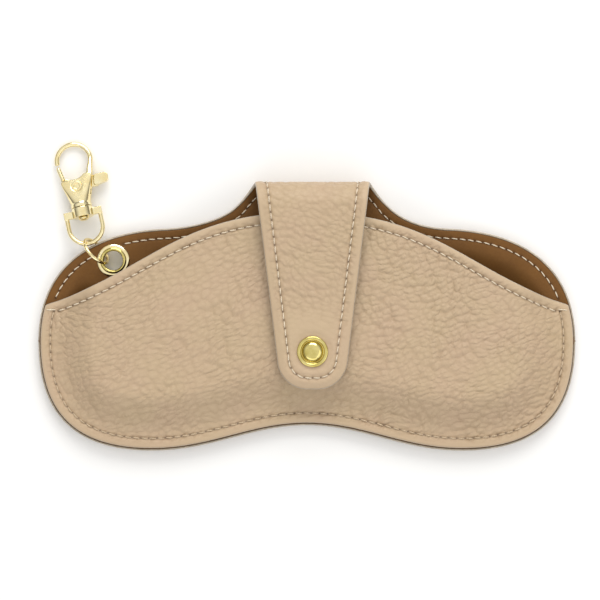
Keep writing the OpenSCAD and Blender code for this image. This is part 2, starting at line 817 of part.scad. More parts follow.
back_leather();
back_lining();
front_leather();
front_lining();
fold_leather();
fold_lining();
flap_leather();
flap_lining();
seam_thread();
mouth_thread();
rim_thread();
fold_thread();
flap_thread();
bar_tacks();
snap_cap();
snap_socket();
snap_spring();
snap_stud();
snap_post();
eyelet();
eyelet_washer();
link_ring();
swivel_bail();
swivel_post();
hook_body();
gate_pin();
gate_spring();
gate_lever();
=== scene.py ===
"""Soft pouch glasses case: pebbled leather, brown lining, cream stitching and a gold swivel hook.

The pieces are shaped in millimetres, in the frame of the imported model, and made in metres. The cast parts
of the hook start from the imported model's meshes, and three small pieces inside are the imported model's own.
A leather sheet is drawn flat first, as its cut pattern with coordinates (x, v): v is Y on the panels and
runs on over the fold and down the flap. Its mesh is then laid over the panel, the fold and the flap.
"""
import math

import bmesh
import bpy
import numpy as np
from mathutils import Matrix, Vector
from mathutils.kdtree import KDTree


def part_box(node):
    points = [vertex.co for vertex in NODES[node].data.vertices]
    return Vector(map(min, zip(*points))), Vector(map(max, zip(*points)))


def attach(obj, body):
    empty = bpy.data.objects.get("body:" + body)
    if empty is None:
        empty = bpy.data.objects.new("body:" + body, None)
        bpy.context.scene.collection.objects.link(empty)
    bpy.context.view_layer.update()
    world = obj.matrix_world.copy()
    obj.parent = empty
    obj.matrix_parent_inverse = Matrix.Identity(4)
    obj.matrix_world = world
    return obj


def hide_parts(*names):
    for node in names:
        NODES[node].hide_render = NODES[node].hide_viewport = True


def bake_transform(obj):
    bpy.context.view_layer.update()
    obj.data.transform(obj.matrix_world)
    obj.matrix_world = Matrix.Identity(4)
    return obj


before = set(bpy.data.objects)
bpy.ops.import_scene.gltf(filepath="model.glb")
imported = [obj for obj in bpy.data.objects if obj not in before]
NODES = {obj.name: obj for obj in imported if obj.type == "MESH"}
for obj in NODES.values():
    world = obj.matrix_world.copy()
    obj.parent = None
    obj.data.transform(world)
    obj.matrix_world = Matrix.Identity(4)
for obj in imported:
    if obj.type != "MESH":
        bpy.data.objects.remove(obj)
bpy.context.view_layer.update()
MM = 0.001


def add_object(name, data):
    obj = bpy.data.objects.new(name, data)
    bpy.context.scene.collection.objects.link(obj)
    return obj


# ---- camera: straight down, at the photograph's angle ----

VIEW_X, VIEW_Y = -2.3, 5.7
VIEW_HEIGHT = 558.0
# the width that the picture shows, at the height of the front panel
VIEW_WIDTH, VIEW_LEVEL = 199.6, 8.0
SENSOR = 36.0

camera_data = bpy.data.cameras.new("camera")
camera_data.sensor_width = SENSOR
camera_data.lens = SENSOR * (VIEW_HEIGHT - VIEW_LEVEL) / VIEW_WIDTH
camera = add_object("camera", camera_data)
camera.location = (VIEW_X * MM, VIEW_Y * MM, VIEW_HEIGHT * MM)
bpy.context.scene.camera = camera

# ---- sizes of the case, in mm, as the CAD has them ----

HALF_W, LOBE_DROP, NOTCH_DROP, LOBE_X = 90.0, 44.8, 36.3, 52.0
WIDEST_DROP, SHOULDER_X, SHOULDER_Y, FOLD_Y = 8.0, 47.4, 29.6, 37.1
EDGE_STEP, MOUTH_Y, FRONT_END = 1.0, 34.8, 0.19
RIM_LIFT, BACK_RIM, BACK_SLOPE = 3.0, 6.0, 10.0
SEAM_W, BULGE, BULGE_RUN = 4.0, 6.5, 15.0
PANEL_T = 1.5
FRONT_TOP = 3.1
FLAP_X, ROOT_W, FLAP_W, FLAP_SNAP_W = 1.8, 51.0, 38.4, 23.9
FOLD_R = 7.75
FOLD_MID = FOLD_R - PANEL_T / 2
FOLD_Z = RIM_LIFT + FOLD_R
FOLD_LEN = math.pi * FOLD_MID
HALF_FOLD = FOLD_Y + FOLD_LEN / 2
FLAP_START = FOLD_Y + FOLD_LEN
SNAP_DROP, FLAP_TIP, TIP_R, TIP_DROOP = 11.2, 12.4, 10.0, 0.8
SNAP_FLAT = 6.5
SNAP_TOP = 16.9
FLAP_TOP = RIM_LIFT + 2 * FOLD_R
TAPER = (FLAP_W - FLAP_SNAP_W) / 2 / (FOLD_LEN / 2 + FOLD_Y + SNAP_DROP)
STITCH_IN, FLAP_STITCH_IN = 3.3, 3.8
EYELET = np.array([-64.762, 18.907])
SNAP = np.array([FLAP_X, -SNAP_DROP])
WASHER_R, HOLE_R = 5.5, 3.2
PAD_R, PAD_SLOPE = WASHER_R + 4.5, 6.0
# radius of the sheets' holes, which the eyelet's barrel passes through
SHEET_HOLE_R = HOLE_R + 0.45


# ---- small maths ----


def smooth(t):
    t = np.clip(t, 0, 1)
    return t * t * (3 - 2 * t)


def lerp(a, b, t):
    return a + (b - a) * t


def hump(d, width):
    """A rounded bump, 1 where d is 0."""
    return np.exp(-((d / width) ** 2))


def bezier(points, count=60, start=0.0, end=1.0):
    p = np.array(points, float)
    t = np.linspace(start, end, count)[:, None]
    return (
        p[0] * (1 - t) ** 3
        + p[1] * 3 * t * (1 - t) ** 2
        + p[2] * 3 * t * t * (1 - t)
        + p[3] * t**3
    )


def joined(*paths):
    """Paths end to end, without the points they share."""
    out = [paths[0]]
    for path in paths[1:]:
        out.append(path[1:] if np.linalg.norm(path[0] - out[-1][-1]) < 1e-6 else path)
    return np.concatenate(out)


def lengths(path):
    return np.concatenate([[0], np.cumsum(np.linalg.norm(np.diff(path, axis=0), axis=1))])


def at_length(path, where):
    along = lengths(path)
    return np.stack([np.interp(where, along, path[:, k]) for k in range(path.shape[1])], -1)


def resampled(path, count):
    return at_length(path, np.linspace(0, lengths(path)[-1], count))


def mirrored(path):
    return path[::-1] * [-1, 1]


def turned_left(path):
    """Unit normals on the left of the path."""
    tangent = np.gradient(path, axis=0)
    tangent /= np.maximum(np.linalg.norm(tangent, axis=1), 1e-12)[:, None]
    return np.stack([-tangent[:, 1], tangent[:, 0]], -1)


def inset(path, by):
    return path + by * turned_left(path)


def distance(points, path, step=0.35):
    """How far each point is from the path."""
    line = resampled(path, max(2, int(lengths(path)[-1] / step) + 1))
    tree = KDTree(len(line))
    for i, (x, y) in enumerate(line):
        tree.insert((x, y, 0), i)
    tree.balance()
    near = np.array([tree.find((x, y, 0))[1] for x, y in points], int)
    best = np.full(len(points), np.inf)
    last = len(line) - 1
    for a, b in ((np.maximum(near - 1, 0), near), (near, np.minimum(near + 1, last))):
        d = line[b] - line[a]
        t = ((points - line[a]) * d).sum(1) / np.maximum((d * d).sum(1), 1e-12)
        foot = line[a] + np.clip(t, 0, 1)[:, None] * d
        best = np.minimum(best, np.linalg.norm(points - foot, axis=1))
    return best


def nearest(points, marks):
    """Distance to the nearest of a set of marks."""
    tree = KDTree(len(marks))
    for i, (x, y) in enumerate(marks):
        tree.insert((x, y, 0), i)
    tree.balance()
    return np.array([tree.find((x, y, 0))[2] for x, y in points])


LATTICE_SIZE = 128
LATTICE = np.random.RandomState(11).rand(8, LATTICE_SIZE, LATTICE_SIZE)
# added so that no point falls below the lattice's first cell
LATTICE_SHIFT = 500
# a cell's point lies in this middle share of its cell
JITTER = 0.85


def noise(points, cell, layer=0):
    """Smooth noise from 0 to 1 with bumps about one cell across."""
    q = points / cell + LATTICE_SHIFT
    i = np.floor(q).astype(int)
    f = smooth(q - i)
    table = LATTICE[layer]
    x0, y0 = i[:, 0] % LATTICE_SIZE, i[:, 1] % LATTICE_SIZE
    x1, y1 = (x0 + 1) % LATTICE_SIZE, (y0 + 1) % LATTICE_SIZE
    low = lerp(table[x0, y0], table[x1, y0], f[:, 0])
    high = lerp(table[x0, y1], table[x1, y1], f[:, 0])
    return lerp(low, high, f[:, 1])


def cells(points, layer):
    """Distances to the nearest and second nearest of the jittered points of a unit lattice."""
    base = np.floor(points).astype(int)
    first = np.full(len(points), 9.0)
    second = np.full(len(points), 9.0)
    for dx in (-1, 0, 1):
        for dy in (-1, 0, 1):
            ix, iy = base[:, 0] + dx, base[:, 1] + dy
            at = (ix % LATTICE_SIZE, iy % LATTICE_SIZE)
            px = ix + 0.5 + JITTER * (LATTICE[layer][at] - 0.5)
            py = iy + 0.5 + JITTER * (LATTICE[layer + 1][at] - 0.5)
            d = np.hypot(points[:, 0] - px, points[:, 1] - py)
            second = np.minimum(second, np.maximum(first, d))
            first = np.minimum(first, d)
    return first, second


PEBBLE_W, PEBBLE_H = 3.05, 1.65
PEBBLE_TURN = math.radians(19)
PEBBLE_DEPTH = 0.36
CREASE_W, CREASE_SHARE, DOME_FALL, DOME_SHARE = 0.45, 0.2, 1.7, 0.8
# the small pebbles between the big ones, shifted so that the two sets don't line up
SMALL_W, SMALL_H, SMALL_CREASE_W, SMALL_SHIFT = 1.55, 1.0, 0.5, 37.3
BIG_SHARE, SMALL_SHARE = 0.84, 0.16
# how far the rows of pebbles wander, how far their creases wrinkle, and over what lengths
WANDER, WANDER_CELL = np.array([4.5, 2.4]), 9
WRINKLE, WRINKLE_CELL = 0.7, 1.7


def pebbles(points):
    """Height of the leather's grain, from 0 in a crease to 1 on a pebble."""
    wander = np.stack([noise(points, WANDER_CELL, 2), noise(points, WANDER_CELL, 3)], -1) - 0.5
    wrinkle = np.stack([noise(points, WRINKLE_CELL, 4), noise(points, WRINKLE_CELL, 5)], -1) - 0.5
    q = points + WANDER * wander + WRINKLE * wrinkle
    c, s = math.cos(PEBBLE_TURN), math.sin(PEBBLE_TURN)
    q = np.stack([q[:, 0] * c + q[:, 1] * s, -q[:, 0] * s + q[:, 1] * c], -1)
    first, second = cells(q / [PEBBLE_W, PEBBLE_H], 0)
    dome = np.clip(1 - DOME_FALL * first**2, 0, 1)
    big = CREASE_SHARE * smooth((second - first) / CREASE_W) + DOME_SHARE * dome
    first, second = cells(q / [SMALL_W, SMALL_H] + SMALL_SHIFT, 6)
    small = smooth((second - first) / SMALL_CREASE_W)
    # the grain is deeper in some places than in others
    depth = 0.6 + 0.4 * smooth(noise(points, WANDER_CELL, 1) * 1.6 - 0.2)
    return np.clip(1 - depth * (1 - (BIG_SHARE * big + SMALL_SHARE * small)), 0, 1)


# ---- outlines of the cut pieces, with the control points that the CAD has ----

NOTCH = [(0, -NOTCH_DROP), (0.36 * LOBE_X, -NOTCH_DROP), (0.61 * LOBE_X, -LOBE_DROP), (LOBE_X, -LOBE_DROP)]
LOBE = [
    (LOBE_X, -LOBE_DROP),
    (lerp(LOBE_X, HALF_W, 0.73), -LOBE_DROP),
    (HALF_W, -lerp(WIDEST_DROP, LOBE_DROP, 0.62)),
    (HALF_W, -WIDEST_DROP),
]
SHOULDER = [
    (HALF_W, -WIDEST_DROP),
    (HALF_W, lerp(-WIDEST_DROP, SHOULDER_Y, 0.62)),
    (lerp(SHOULDER_X, HALF_W, 0.64), SHOULDER_Y - 1),
    (SHOULDER_X, SHOULDER_Y),
]


def neck(side):
    x = ROOT_W / 2 + side * FLAP_X
    return [(SHOULDER_X, SHOULDER_Y), (SHOULDER_X - 9, SHOULDER_Y + 0.4), (x + 4.5, FOLD_Y - 4.5), (x, FOLD_Y)]


def flap_half(u):
    """Half width of the flap at a distance from the fold's start."""
    straight = FLAP_W / 2 - TAPER * (u - FOLD_LEN / 2)
    flare = ROOT_W / 2 - (FLAP_W / 2 + TAPER * FOLD_LEN / 2)
    return straight + flare * (1 - np.clip(u / (FOLD_LEN / 2), 0, 1)) ** 2


def tongue(side, v_from, v_to, count=60):
    v = np.linspace(v_from, v_to, count)
    return np.stack([flap_half(v - FOLD_Y) + side * FLAP_X, v], -1)


LOW_RIGHT = joined(bezier(NOTCH), bezier(LOBE))
PATTERN_TOP = FOLD_Y + 19


def top_right(side):
    """The back's upper edge from the middle of the tongue's end to the widest point."""
    strip = tongue(side, PATTERN_TOP, FOLD_Y)
    end = np.array([[side * FLAP_X, PATTERN_TOP], strip[0]])
    return joined(end, strip, bezier(neck(side))[::-1], bezier(SHOULDER)[::-1])


def halves(left, right, count):
    """One path from left to right, with as many points on each side of the middle."""
    a, b = resampled(left, count), resampled(right, count)
    return np.concatenate([a, b[1:]])


def back_outline(count):
    low = halves(mirrored(LOW_RIGHT), LOW_RIGHT, count)
    top = halves(mirrored(top_right(-1)), top_right(1), count)
    return low, top


FRONT_RIGHT = inset(joined(LOW_RIGHT, bezier(SHOULDER, 40, 0, FRONT_END)), EDGE_STEP)
FRONT_RIGHT[0, 0] = 0
# from the seam's last point to the mouth's corner
CORNER_STEP = (-0.9, 0.5)
FRONT_CORNER = FRONT_RIGHT[-1] + CORNER_STEP
MOUTH = [
    (0, MOUTH_Y),
    (0.5 * FRONT_CORNER[0], MOUTH_Y),
    (0.62 * FRONT_CORNER[0], lerp(FRONT_CORNER[1], MOUTH_Y, 0.32)),
    tuple(FRONT_CORNER),
]
MOUTH_RIGHT = bezier(MOUTH, 160)
FRONT_SEWN = np.concatenate([mirrored(FRONT_RIGHT), FRONT_RIGHT[1:]])


def front_outline(count):
    side = np.concatenate([FRONT_RIGHT, [FRONT_CORNER]])
    low = halves(mirrored(side), side, count)
    top = halves(mirrored(MOUTH_RIGHT), MOUTH_RIGHT, count)
    return low, top


SIDE_ANGLE = math.atan(TAPER)
TIP_Y = -SNAP_DROP - FLAP_TIP
ROUND_Y = TIP_Y + TIP_R - TIP_R * math.sin(SIDE_ANGLE)
V_OF_ROUND = FLAP_START + FOLD_Y - ROUND_Y
ROUND_X = float(flap_half(np.array(V_OF_ROUND - FOLD_Y))) - TIP_R * math.cos(SIDE_ANGLE)
V_TIP = FLAP_START + FOLD_Y - TIP_Y


def flap_side(v_from, by=0.0, count=200):
    """The flap's right edge, or a line inside it, from the fold to the middle of the tip; x from its centre."""
    v = np.linspace(v_from, V_OF_ROUND, count)
    side = np.stack([flap_half(v - FOLD_Y) - by / math.cos(SIDE_ANGLE), v], -1)
    a = np.linspace(SIDE_ANGLE, math.pi / 2, 60)
    r = TIP_R - by
    bend = np.stack([ROUND_X + r * np.cos(a), V_TIP - TIP_R + r * np.sin(a)], -1)
    return joined(side, bend, np.array([[0, bend[-1, 1]]]))


def flap_outline(count):
    right = resampled(flap_side(HALF_FOLD - 5), count)
    return right + [FLAP_X, 0], right * [-1, 1] + [FLAP_X, 0]


# ---- stitch lines on the flat patterns, with their holes ----

PITCH = 2.75


def stitch_marks(path):
    """Places of the needle holes along a path."""
    total = lengths(path)[-1]
    count = max(2, int(round(total / PITCH)) + 1)
    return at_length(path, np.linspace(0, total, count))


SEAM_LINE = inset(FRONT_SEWN, STITCH_IN)[4:-4]
MOUTH_FULL = np.concatenate([mirrored(MOUTH_RIGHT), MOUTH_RIGHT[1:]])
MOUTH_LINE = inset(MOUTH_FULL[::-1], STITCH_IN)[::-1]
MOUTH_LINE = MOUTH_LINE[np.abs(MOUTH_LINE[:, 0]) < FRONT_CORNER[0] - STITCH_IN - 0.1]


def rim_line(side):
    """Right-handed line from the front's corner along the shoulder and neck and up the tongue."""
    edge = joined(bezier(SHOULDER, 60, FRONT_END + 0.06, 1), bezier(neck(side), 40))
    line = inset(edge, STITCH_IN)
    strip = tongue(side, FOLD_Y + 2.2, HALF_FOLD, 20) - [FLAP_STITCH_IN, 0]
    return resampled(joined(line, strip), 200)


RIM_LINES = [rim_line(1), rim_line(-1) * [-1, 1]]
FLAP_LINE = flap_side(HALF_FOLD, FLAP_STITCH_IN)
FLAP_LINE = resampled(joined(FLAP_LINE, FLAP_LINE[::-1] * [-1, 1]), 500) + [FLAP_X, 0]


# ---- heights of the surfaces ----

BACK_CLOSED = joined(
    np.concatenate([mirrored(LOW_RIGHT), LOW_RIGHT[1:]]),
    bezier(SHOULDER),
    bezier(neck(1)),
    np.array([[-(ROOT_W / 2 - FLAP_X), FOLD_Y]]),
    mirrored(bezier(neck(-1))),
    mirrored(bezier(SHOULDER)),
)

# soft unevenness of the front, inside its seam: (height, length of a swell, lattice layer)
FRONT_SWELLS = ((0.5, 21, 6), (0.3, 11, 7))
SWELL_FROM, SWELL_RUN = 6, 14
# the flap: its droop towards the sides, the leather's puff round the cap, and its soft unevenness
SIDE_DROOP, FROM_FOLD, NARROWEST_HALF = 0.55, 14, 6
PUFF, PUFF_R, PUFF_W, PUFF_FROM, PUFF_RUN = 0.35, 7.4, 4.5, 5.2, 2.2
FLAP_SWELL, FLAP_SWELL_CELL, FLAP_SWELL_FROM = 0.35, 13, 6


def back_height(points):
    rim = 1 - smooth((distance(points, BACK_CLOSED, 0.8) - BACK_RIM) / BACK_SLOPE)
    pad = 1 - smooth((np.linalg.norm(points - EYELET, axis=1) - PAD_R) / PAD_SLOPE)
    return RIM_LIFT * (1 - (1 - rim) * (1 - pad))


def front_height(points):
    d = distance(points, FRONT_SEWN, 0.8)
    soft = sum(high * (noise(points, cell, layer) - 0.5) for high, cell, layer in FRONT_SWELLS)
    soft = soft * smooth((d - SWELL_FROM) / SWELL_RUN)
    return RIM_LIFT + BULGE * smooth((d - SEAM_W) / BULGE_RUN) + soft


def flap_height(x, y):
    down = smooth((FOLD_Y - y) / (FOLD_Y + SNAP_DROP - SNAP_FLAT))
    past = np.maximum(0, -SNAP_DROP - SNAP_FLAT - y) / (FLAP_TIP - SNAP_FLAT)
    z = lerp(FLAP_TOP, SNAP_TOP, down) - TIP_DROOP * past**2
    half = np.maximum(flap_half(FOLD_LEN + FOLD_Y - y), NARROWEST_HALF)
    across = np.abs(x - FLAP_X) / half
    from_fold = smooth((FOLD_Y - y) / FROM_FOLD)
    r = np.hypot(x - SNAP[0], y - SNAP[1])
    z = z - SIDE_DROOP * from_fold * across**4
    z = z + PUFF * smooth((r - PUFF_FROM) / PUFF_RUN) * hump(r - PUFF_R, PUFF_W)
    soft = noise(np.stack([x, y], -1), FLAP_SWELL_CELL, 5) - 0.5
    return z + FLAP_SWELL * from_fold * soft * smooth((r - FLAP_SWELL_FROM) / FLAP_SWELL_FROM)


def skin_point(x, v, depth):
    """Place of a point of the back, fold or flap, at a depth below the leather's face."""
    angle = np.clip((v - FOLD_Y) / FOLD_MID, 0, math.pi)
    r = FOLD_R - depth
    y = FOLD_Y + r * np.sin(angle)
    z = FOLD_Z - r * np.cos(angle)
    panel = v < FOLD_Y
    if panel.any():
        p = np.stack([x[panel], v[panel]], -1)
        y[panel] = v[panel]
        z[panel] = back_height(p) + depth[panel]
    flap = v > FLAP_START
    if flap.any():
        y[flap] = FOLD_Y - (v[flap] - FLAP_START)
        z[flap] = flap_height(x[flap], y[flap]) - depth[flap]
    return np.stack([x, y, np.maximum(z, 0)], -1)


def front_point(x, v, depth):
    p = np.stack([x, v], -1)
    return np.stack([x, v, front_height(p) + FRONT_TOP - depth], -1)


# ---- meshes ----


def new_object(name, points, faces, smooth_angle=40.0):
    mesh = bpy.data.meshes.new(name)
    mesh.from_pydata(np.asarray(points).tolist(), [], [list(f) for f in faces])
    mesh.validate()
    mesh.shade_smooth()
    mesh.set_sharp_from_angle(angle=math.radians(smooth_angle))
    return add_object(name, mesh)


def store(obj, name, values):
    values = np.asarray(values, np.float32)
    attribute = obj.data.attributes.new(name, "FLOAT_VECTOR", "POINT")
    attribute.data.foreach_set("vector", values.ravel())


# a sheet's mesh lines stand at these distances from its edge, close together where the edge is rounded
EDGE_INSETS = np.array(
    [0, 0.03, 0.1, 0.2, 0.33, 0.46, 0.56, 0.66, 0.9, 1.2, 1.6, 2.1, 2.5, 2.8, 3.05, 3.3, 3.55, 3.8, 4.1, 4.5]
)
# a profile is (distances from the edge, depths below the leather's face)
LEATHER_FACE = ([0, 0.03, 0.13, 0.3, 0.52, 0.75], [0.75, 0.5, 0.3, 0.13, 0.03, 0])
LEATHER_BACK = (
    [0, 0.03, 0.1, 0.2, 0.33, 0.46, 0.56, 0.66],
    [0.75, 1.0, 1.22, 1.39, 1.49, 1.52, 1.45, 0.95],
)
# the lining ends this far inside the leather's edge
LINING_IN = 0.7
# where a sheet is narrower than this, its lines draw together
NARROW, NARROW_START = 10, 3
# points are taken away this far round a hole before its clean rim is put in
HOLE_SIDES, HOLE_MARGIN = 64, 0.25
# points closer than this are joined
MERGE = 2e-4
LINING_FACE = ([LINING_IN, 0.72, 0.8, 0.95], [1.25, 1.12, 1.03, 1.0])
LINING_BACK = ([LINING_IN, 0.72, 0.8, 0.95], [1.25, 1.38, 1.47, 1.5])


def grid(rows, columns, closed=True):
    """Quads over rows of points. Each row runs round, and the last row meets the first if closed."""
    i, j = np.meshgrid(np.arange(rows if closed else rows - 1), np.arange(columns), indexing="ij")
    k, m = (i + 1) % rows, (j + 1) % columns
    corners = [i * columns + j, k * columns + j, k * columns + m, i * columns + m]
    return np.stack(corners, -1).reshape(-1, 4)


def lens(low, top, start, rows_a, rows_b):
    """A closed shell between two curves: its flat points, which face each is on, and its quads."""
    insets = np.concatenate([[start], EDGE_INSETS[EDGE_INSETS > start]]) if start else EDGE_INSETS
    low_n, top_n = turned_left(low), -turned_left(top)
    for k in (0, -1):
        if np.linalg.norm(low[k] - top[k]) < 1e-3:
            mean = low_n[k] + top_n[k]
            low_n[k] = top_n[k] = mean / np.linalg.norm(mean)
    wide = np.linalg.norm(top - low, axis=1)[:, None, None]
    steps = start * np.minimum(1, wide / NARROW_START)
    steps = steps + (insets - start)[None, :, None] * np.minimum(1, wide / NARROW)
    a_low = low[:, None] + steps * low_n[:, None]
    a_top = top[:, None] + steps * top_n[:, None]

    def between(count):
        t = np.linspace(0, 1, count + 2)[1:-1][None, :, None]
        return a_low[:, -1:] * (1 - t) + a_top[:, -1:] * t

    face = [a_low, between(rows_a), a_top[:, ::-1]]
    back = [a_top[:, 1:], between(rows_b)[:, ::-1], a_low[:, :0:-1]]
    ring = np.concatenate(face + back, axis=1)
    n, m = ring.shape[:2]
    on_a = 2 * len(insets) + rows_a
    side = np.tile(np.arange(m) >= on_a, (n, 1)).astype(float)
    return ring.reshape(-1, 2), side.ravel(), grid(n, m, False)


def cut_across(bm, side, v):
    """Takes away what is on the other side of the line at v, and closes the cut."""
    bmesh.ops.bisect_plane(
        bm,
        geom=bm.verts[:] + bm.edges[:] + bm.faces[:],
        plane_co=(0, v, 0),
        plane_no=(0, 1 if side == "below" else -1, 0),
        clear_outer=True,
        dist=1e-5,
    )
    rim = [e for e in bm.edges if e.is_boundary and all(abs(p.co.y - v) < 1e-4 for p in e.verts)]
    bmesh.ops.edgeloop_fill(bm, edges=rim)


def cut_hole(bm, centre, radius):
    """Opens a round hole through both faces of a flat shell, and gives it its wall."""
    c = Vector((centre[0], centre[1]))
    inside = [v for v in bm.verts if (v.co.xy - c).length < radius + HOLE_MARGIN]
    bmesh.ops.delete(bm, geom=inside, context="VERTS")
    circles = []
    for level in (0.0, 1.0):
        torn = [e for e in bm.edges if e.is_boundary and all(abs(v.co.z - level) < 0.1 for v in e.verts)]
        circle = []
        for k in range(HOLE_SIDES):
            turn = 2 * math.pi * k / HOLE_SIDES
            spot = (c.x + radius * math.cos(turn), c.y + radius * math.sin(turn), level)
            circle.append(bm.verts.new(spot))
        edges = torn + [bm.edges.new((circle[k - 1], circle[k])) for k in range(HOLE_SIDES)]
        bmesh.ops.triangle_fill(bm, use_beauty=True, use_dissolve=False, edges=edges, normal=(0, 0, 1))
        circles.append(circle)
    for k in range(HOLE_SIDES):
        bm.faces.new((circles[0][k - 1], circles[0][k], circles[1][k], circles[1][k - 1]))


def shell(name, curves, edges, profiles, start, rows, cut=None, holes=()):
    """A sheet with its pattern in (x, v) as coordinates, ready to be laid. cut is (the side kept, v)."""
    flat, side, quads = lens(*curves, start, *rows)
    bm = bmesh.new()
    # the two faces are kept apart while the mesh is cut
    verts = [bm.verts.new((p[0], p[1], s)) for p, s in zip(flat.tolist(), side.tolist())]
    for quad in quads.tolist():
        bm.faces.new([verts[q] for q in quad])
    if cut:
        cut_across(bm, *cut)
    for centre, radius in holes:
        cut_hole(bm, centre, radius)
    bmesh.ops.remove_doubles(bm, verts=bm.verts[:], dist=MERGE)
    bmesh.ops.recalc_face_normals(bm, faces=bm.faces[:])
    mesh = bpy.data.meshes.new(name)
    bm.to_mesh(mesh)
    bm.free()
    co = np.array([v.co for v in mesh.vertices], float).reshape(-1, 3)
    flat, side = co[:, :2], co[:, 2] > 0.5
    edge = np.full(len(co), np.inf)
    for path in edges:
        edge = np.minimum(edge, distance(flat, path))
    face, back = profiles
    depth = np.where(side, np.interp(edge, *back), np.interp(edge, *face))
    return add_object(name, mesh), flat, side, edge, depth


def lay(obj, points, smooth_angle=50.0):
    mesh = obj.data
    mesh.vertices.foreach_set("co", (points * MM).astype(np.float32).ravel())
    bm = bmesh.new()
    bm.from_mesh(mesh)
    bmesh.ops.dissolve_degenerate(bm, edges=bm.edges[:], dist=1e-8)
    bmesh.ops.recalc_face_normals(bm, faces=bm.faces[:])
    bm.to_mesh(mesh)
    bm.free()
    mesh.shade_smooth()
    mesh.set_sharp_from_angle(angle=math.radians(smooth_angle))
    mesh.update()


def from_stitches(flat, lines):
    """How far each flat point is from the nearest stitch line and from the nearest needle hole."""
    line = np.full(len(flat), 99.0)
    hole = np.full(len(flat), 99.0)
    for path in lines:
        line = np.minimum(line, distance(flat, path))
        hole = np.minimum(hole, nearest(flat, stitch_marks(path)))
    return line, hole


# relief of a sewn face: the groove along the stitches, the dip at each needle hole, the roll between the
# stitches and the edge, and the low swell beside the stitches
GROOVE, GROOVE_W = 0.26, 0.7
DIP, DIP_W = 0.3, 0.5
ROLL, ROLL_AT, ROLL_W, ROLL_END = 0.17, 2.0, 0.95, 6
BESIDE, BESIDE_AT, BESIDE_W = 0.05, 1.5, 0.8
# the plain border along the edge, and the run over which the grain begins
BORDER, BORDER_RUN = 0.9, 1.6
# how uneven the painted edge is
BEAD, BEAD_CELL, BEAD_W = 0.04, 1.9, 1.2
PAINT_IN, PAINT_OUT = 0.05, 0.4
LINING_GROOVE, LINING_DIP = 0.12, 0.2
# how dark the painted shade is in a needle hole and along the foot of the stitches
HOLE_SHADE, HOLE_SHADE_W, FOOT_SHADE, FOOT_SHADE_W = 0.8, 0.36, 0.08, 0.45


def stitched_face(flat, edge, lines, grain):
    """Of a sewn leather face: its rise over the plain surface, its grain, and the painted shade in its holes
    and along the foot of its stitches.
    """
    line, hole = from_stitches(flat, lines)
    pebble = pebbles(flat)
    mask = grain * smooth((edge - BORDER) / BORDER_RUN)
    rise = -PEBBLE_DEPTH * (1 - pebble) * mask
    rise -= GROOVE * hump(line, GROOVE_W) + DIP * hump(hole, DIP_W)
    rise += ROLL * hump(edge - ROLL_AT, ROLL_W) * (line < ROLL_END)
    rise += BESIDE * hump(line - BESIDE_AT, BESIDE_W)
    # painted shade in the needle holes and along the foot of the stitches
    stitch_shade = HOLE_SHADE * hump(hole, HOLE_SHADE_W) + FOOT_SHADE * hump(line, FOOT_SHADE_W)
    tone = 1 - (1 - pebble) * mask
    return rise, tone, np.clip(stitch_shade, 0, 1)


def finish_sheet(obj, place, flat, side, depth, rise, tone, stitch_shade, paint):
    """Lays a flat sheet in place, and stores what its material reads."""
    store(obj, "rest", np.stack([flat[:, 0], flat[:, 1], depth], -1))
    store(obj, "tone", np.stack([tone, paint, stitch_shade], -1))
    lay(obj, place(flat[:, 0], flat[:, 1], depth - np.where(side, -rise, rise)))
    return obj


def leather_sheet(name, curves, edges, place, lines, rows, grain, cut=None, holes=()):
    profiles = (LEATHER_FACE, LEATHER_BACK)
    obj, flat, side, edge, depth = shell(name, curves, edges, profiles, 0, rows, cut, holes)
    rise, tone, stitch_shade = stitched_face(flat, edge, lines, grain(flat))
    bead = BEAD * (noise(flat, BEAD_CELL, 3) - 0.5) * (edge < BEAD_W)
    rise = np.where(side, bead, rise * smooth(edge / GROOVE_W) + bead)
    paint = np.where(side, 1.0, 1 - smooth((edge - PAINT_IN) / (PAINT_OUT - PAINT_IN)))
    tone, stitch_shade = np.where(side, 1, tone), np.where(side, 0, stitch_shade)
    return finish_sheet(obj, place, flat, side, depth, rise, tone, stitch_shade, paint)


def lining_sheet(name, curves, edges, place, lines, rows, cut=None, holes=()):
    profiles = (LINING_FACE, LINING_BACK)
    obj, flat, side, _, depth = shell(name, curves, edges, profiles, LINING_IN, rows, cut, holes)
    line, hole = from_stitches(flat, lines)
    rise = -LINING_GROOVE * hump(line, GROOVE_W) - LINING_DIP * hump(hole, DIP_W)
    rise += 0.05 * (noise(flat, 5, 2) - 0.5) + 0.02 * (noise(flat, 1.3, 4) - 0.5)
    rise = np.where(side, rise, 0)
    mottle = noise(flat, 2.2, 0)
    # painted shade in the lining's needle holes
    stitch_shade = HOLE_SHADE * hump(hole, DIP_W) * side
    return finish_sheet(obj, place, flat, side, depth, rise, mottle, stitch_shade, np.zeros(len(flat)))


def flat_area(outline):
    """Flat area of a cut, in square metres, and the size of the rectangle round it, in metres."""
    x, y = outline[:, 0], outline[:, 1]
    area = abs(np.dot(x, np.roll(y, -1)) - np.dot(y, np.roll(x, -1))) / 2
    size = outline.max(0) - outline.min(0)
    return area * MM * MM, (size[0] * MM, size[1] * MM)


# ---- the leather and its lining ----

COLUMNS, FLAP_COLUMNS = 250, 200
KEEP_BELOW, KEEP_ABOVE = ("below", HALF_FOLD), ("above", HALF_FOLD)
EYELET_HOLE = [(EYELET, SHEET_HOLE_R)]


def panel_grain(flat):
    """The grain is a little shallower on the left lobe, as in the photo."""
    return 0.75 + 0.25 * smooth((flat[:, 0] + 60) / 80)


def flap_grain(flat):
    """The grain is pressed flat round the cap."""
    r = np.hypot(flat[:, 0] - SNAP[0], flat[:, 1] - (FLAP_START + FOLD_Y - SNAP[1]))
    return 0.15 + 0.6 * smooth((r - 7) / 14)


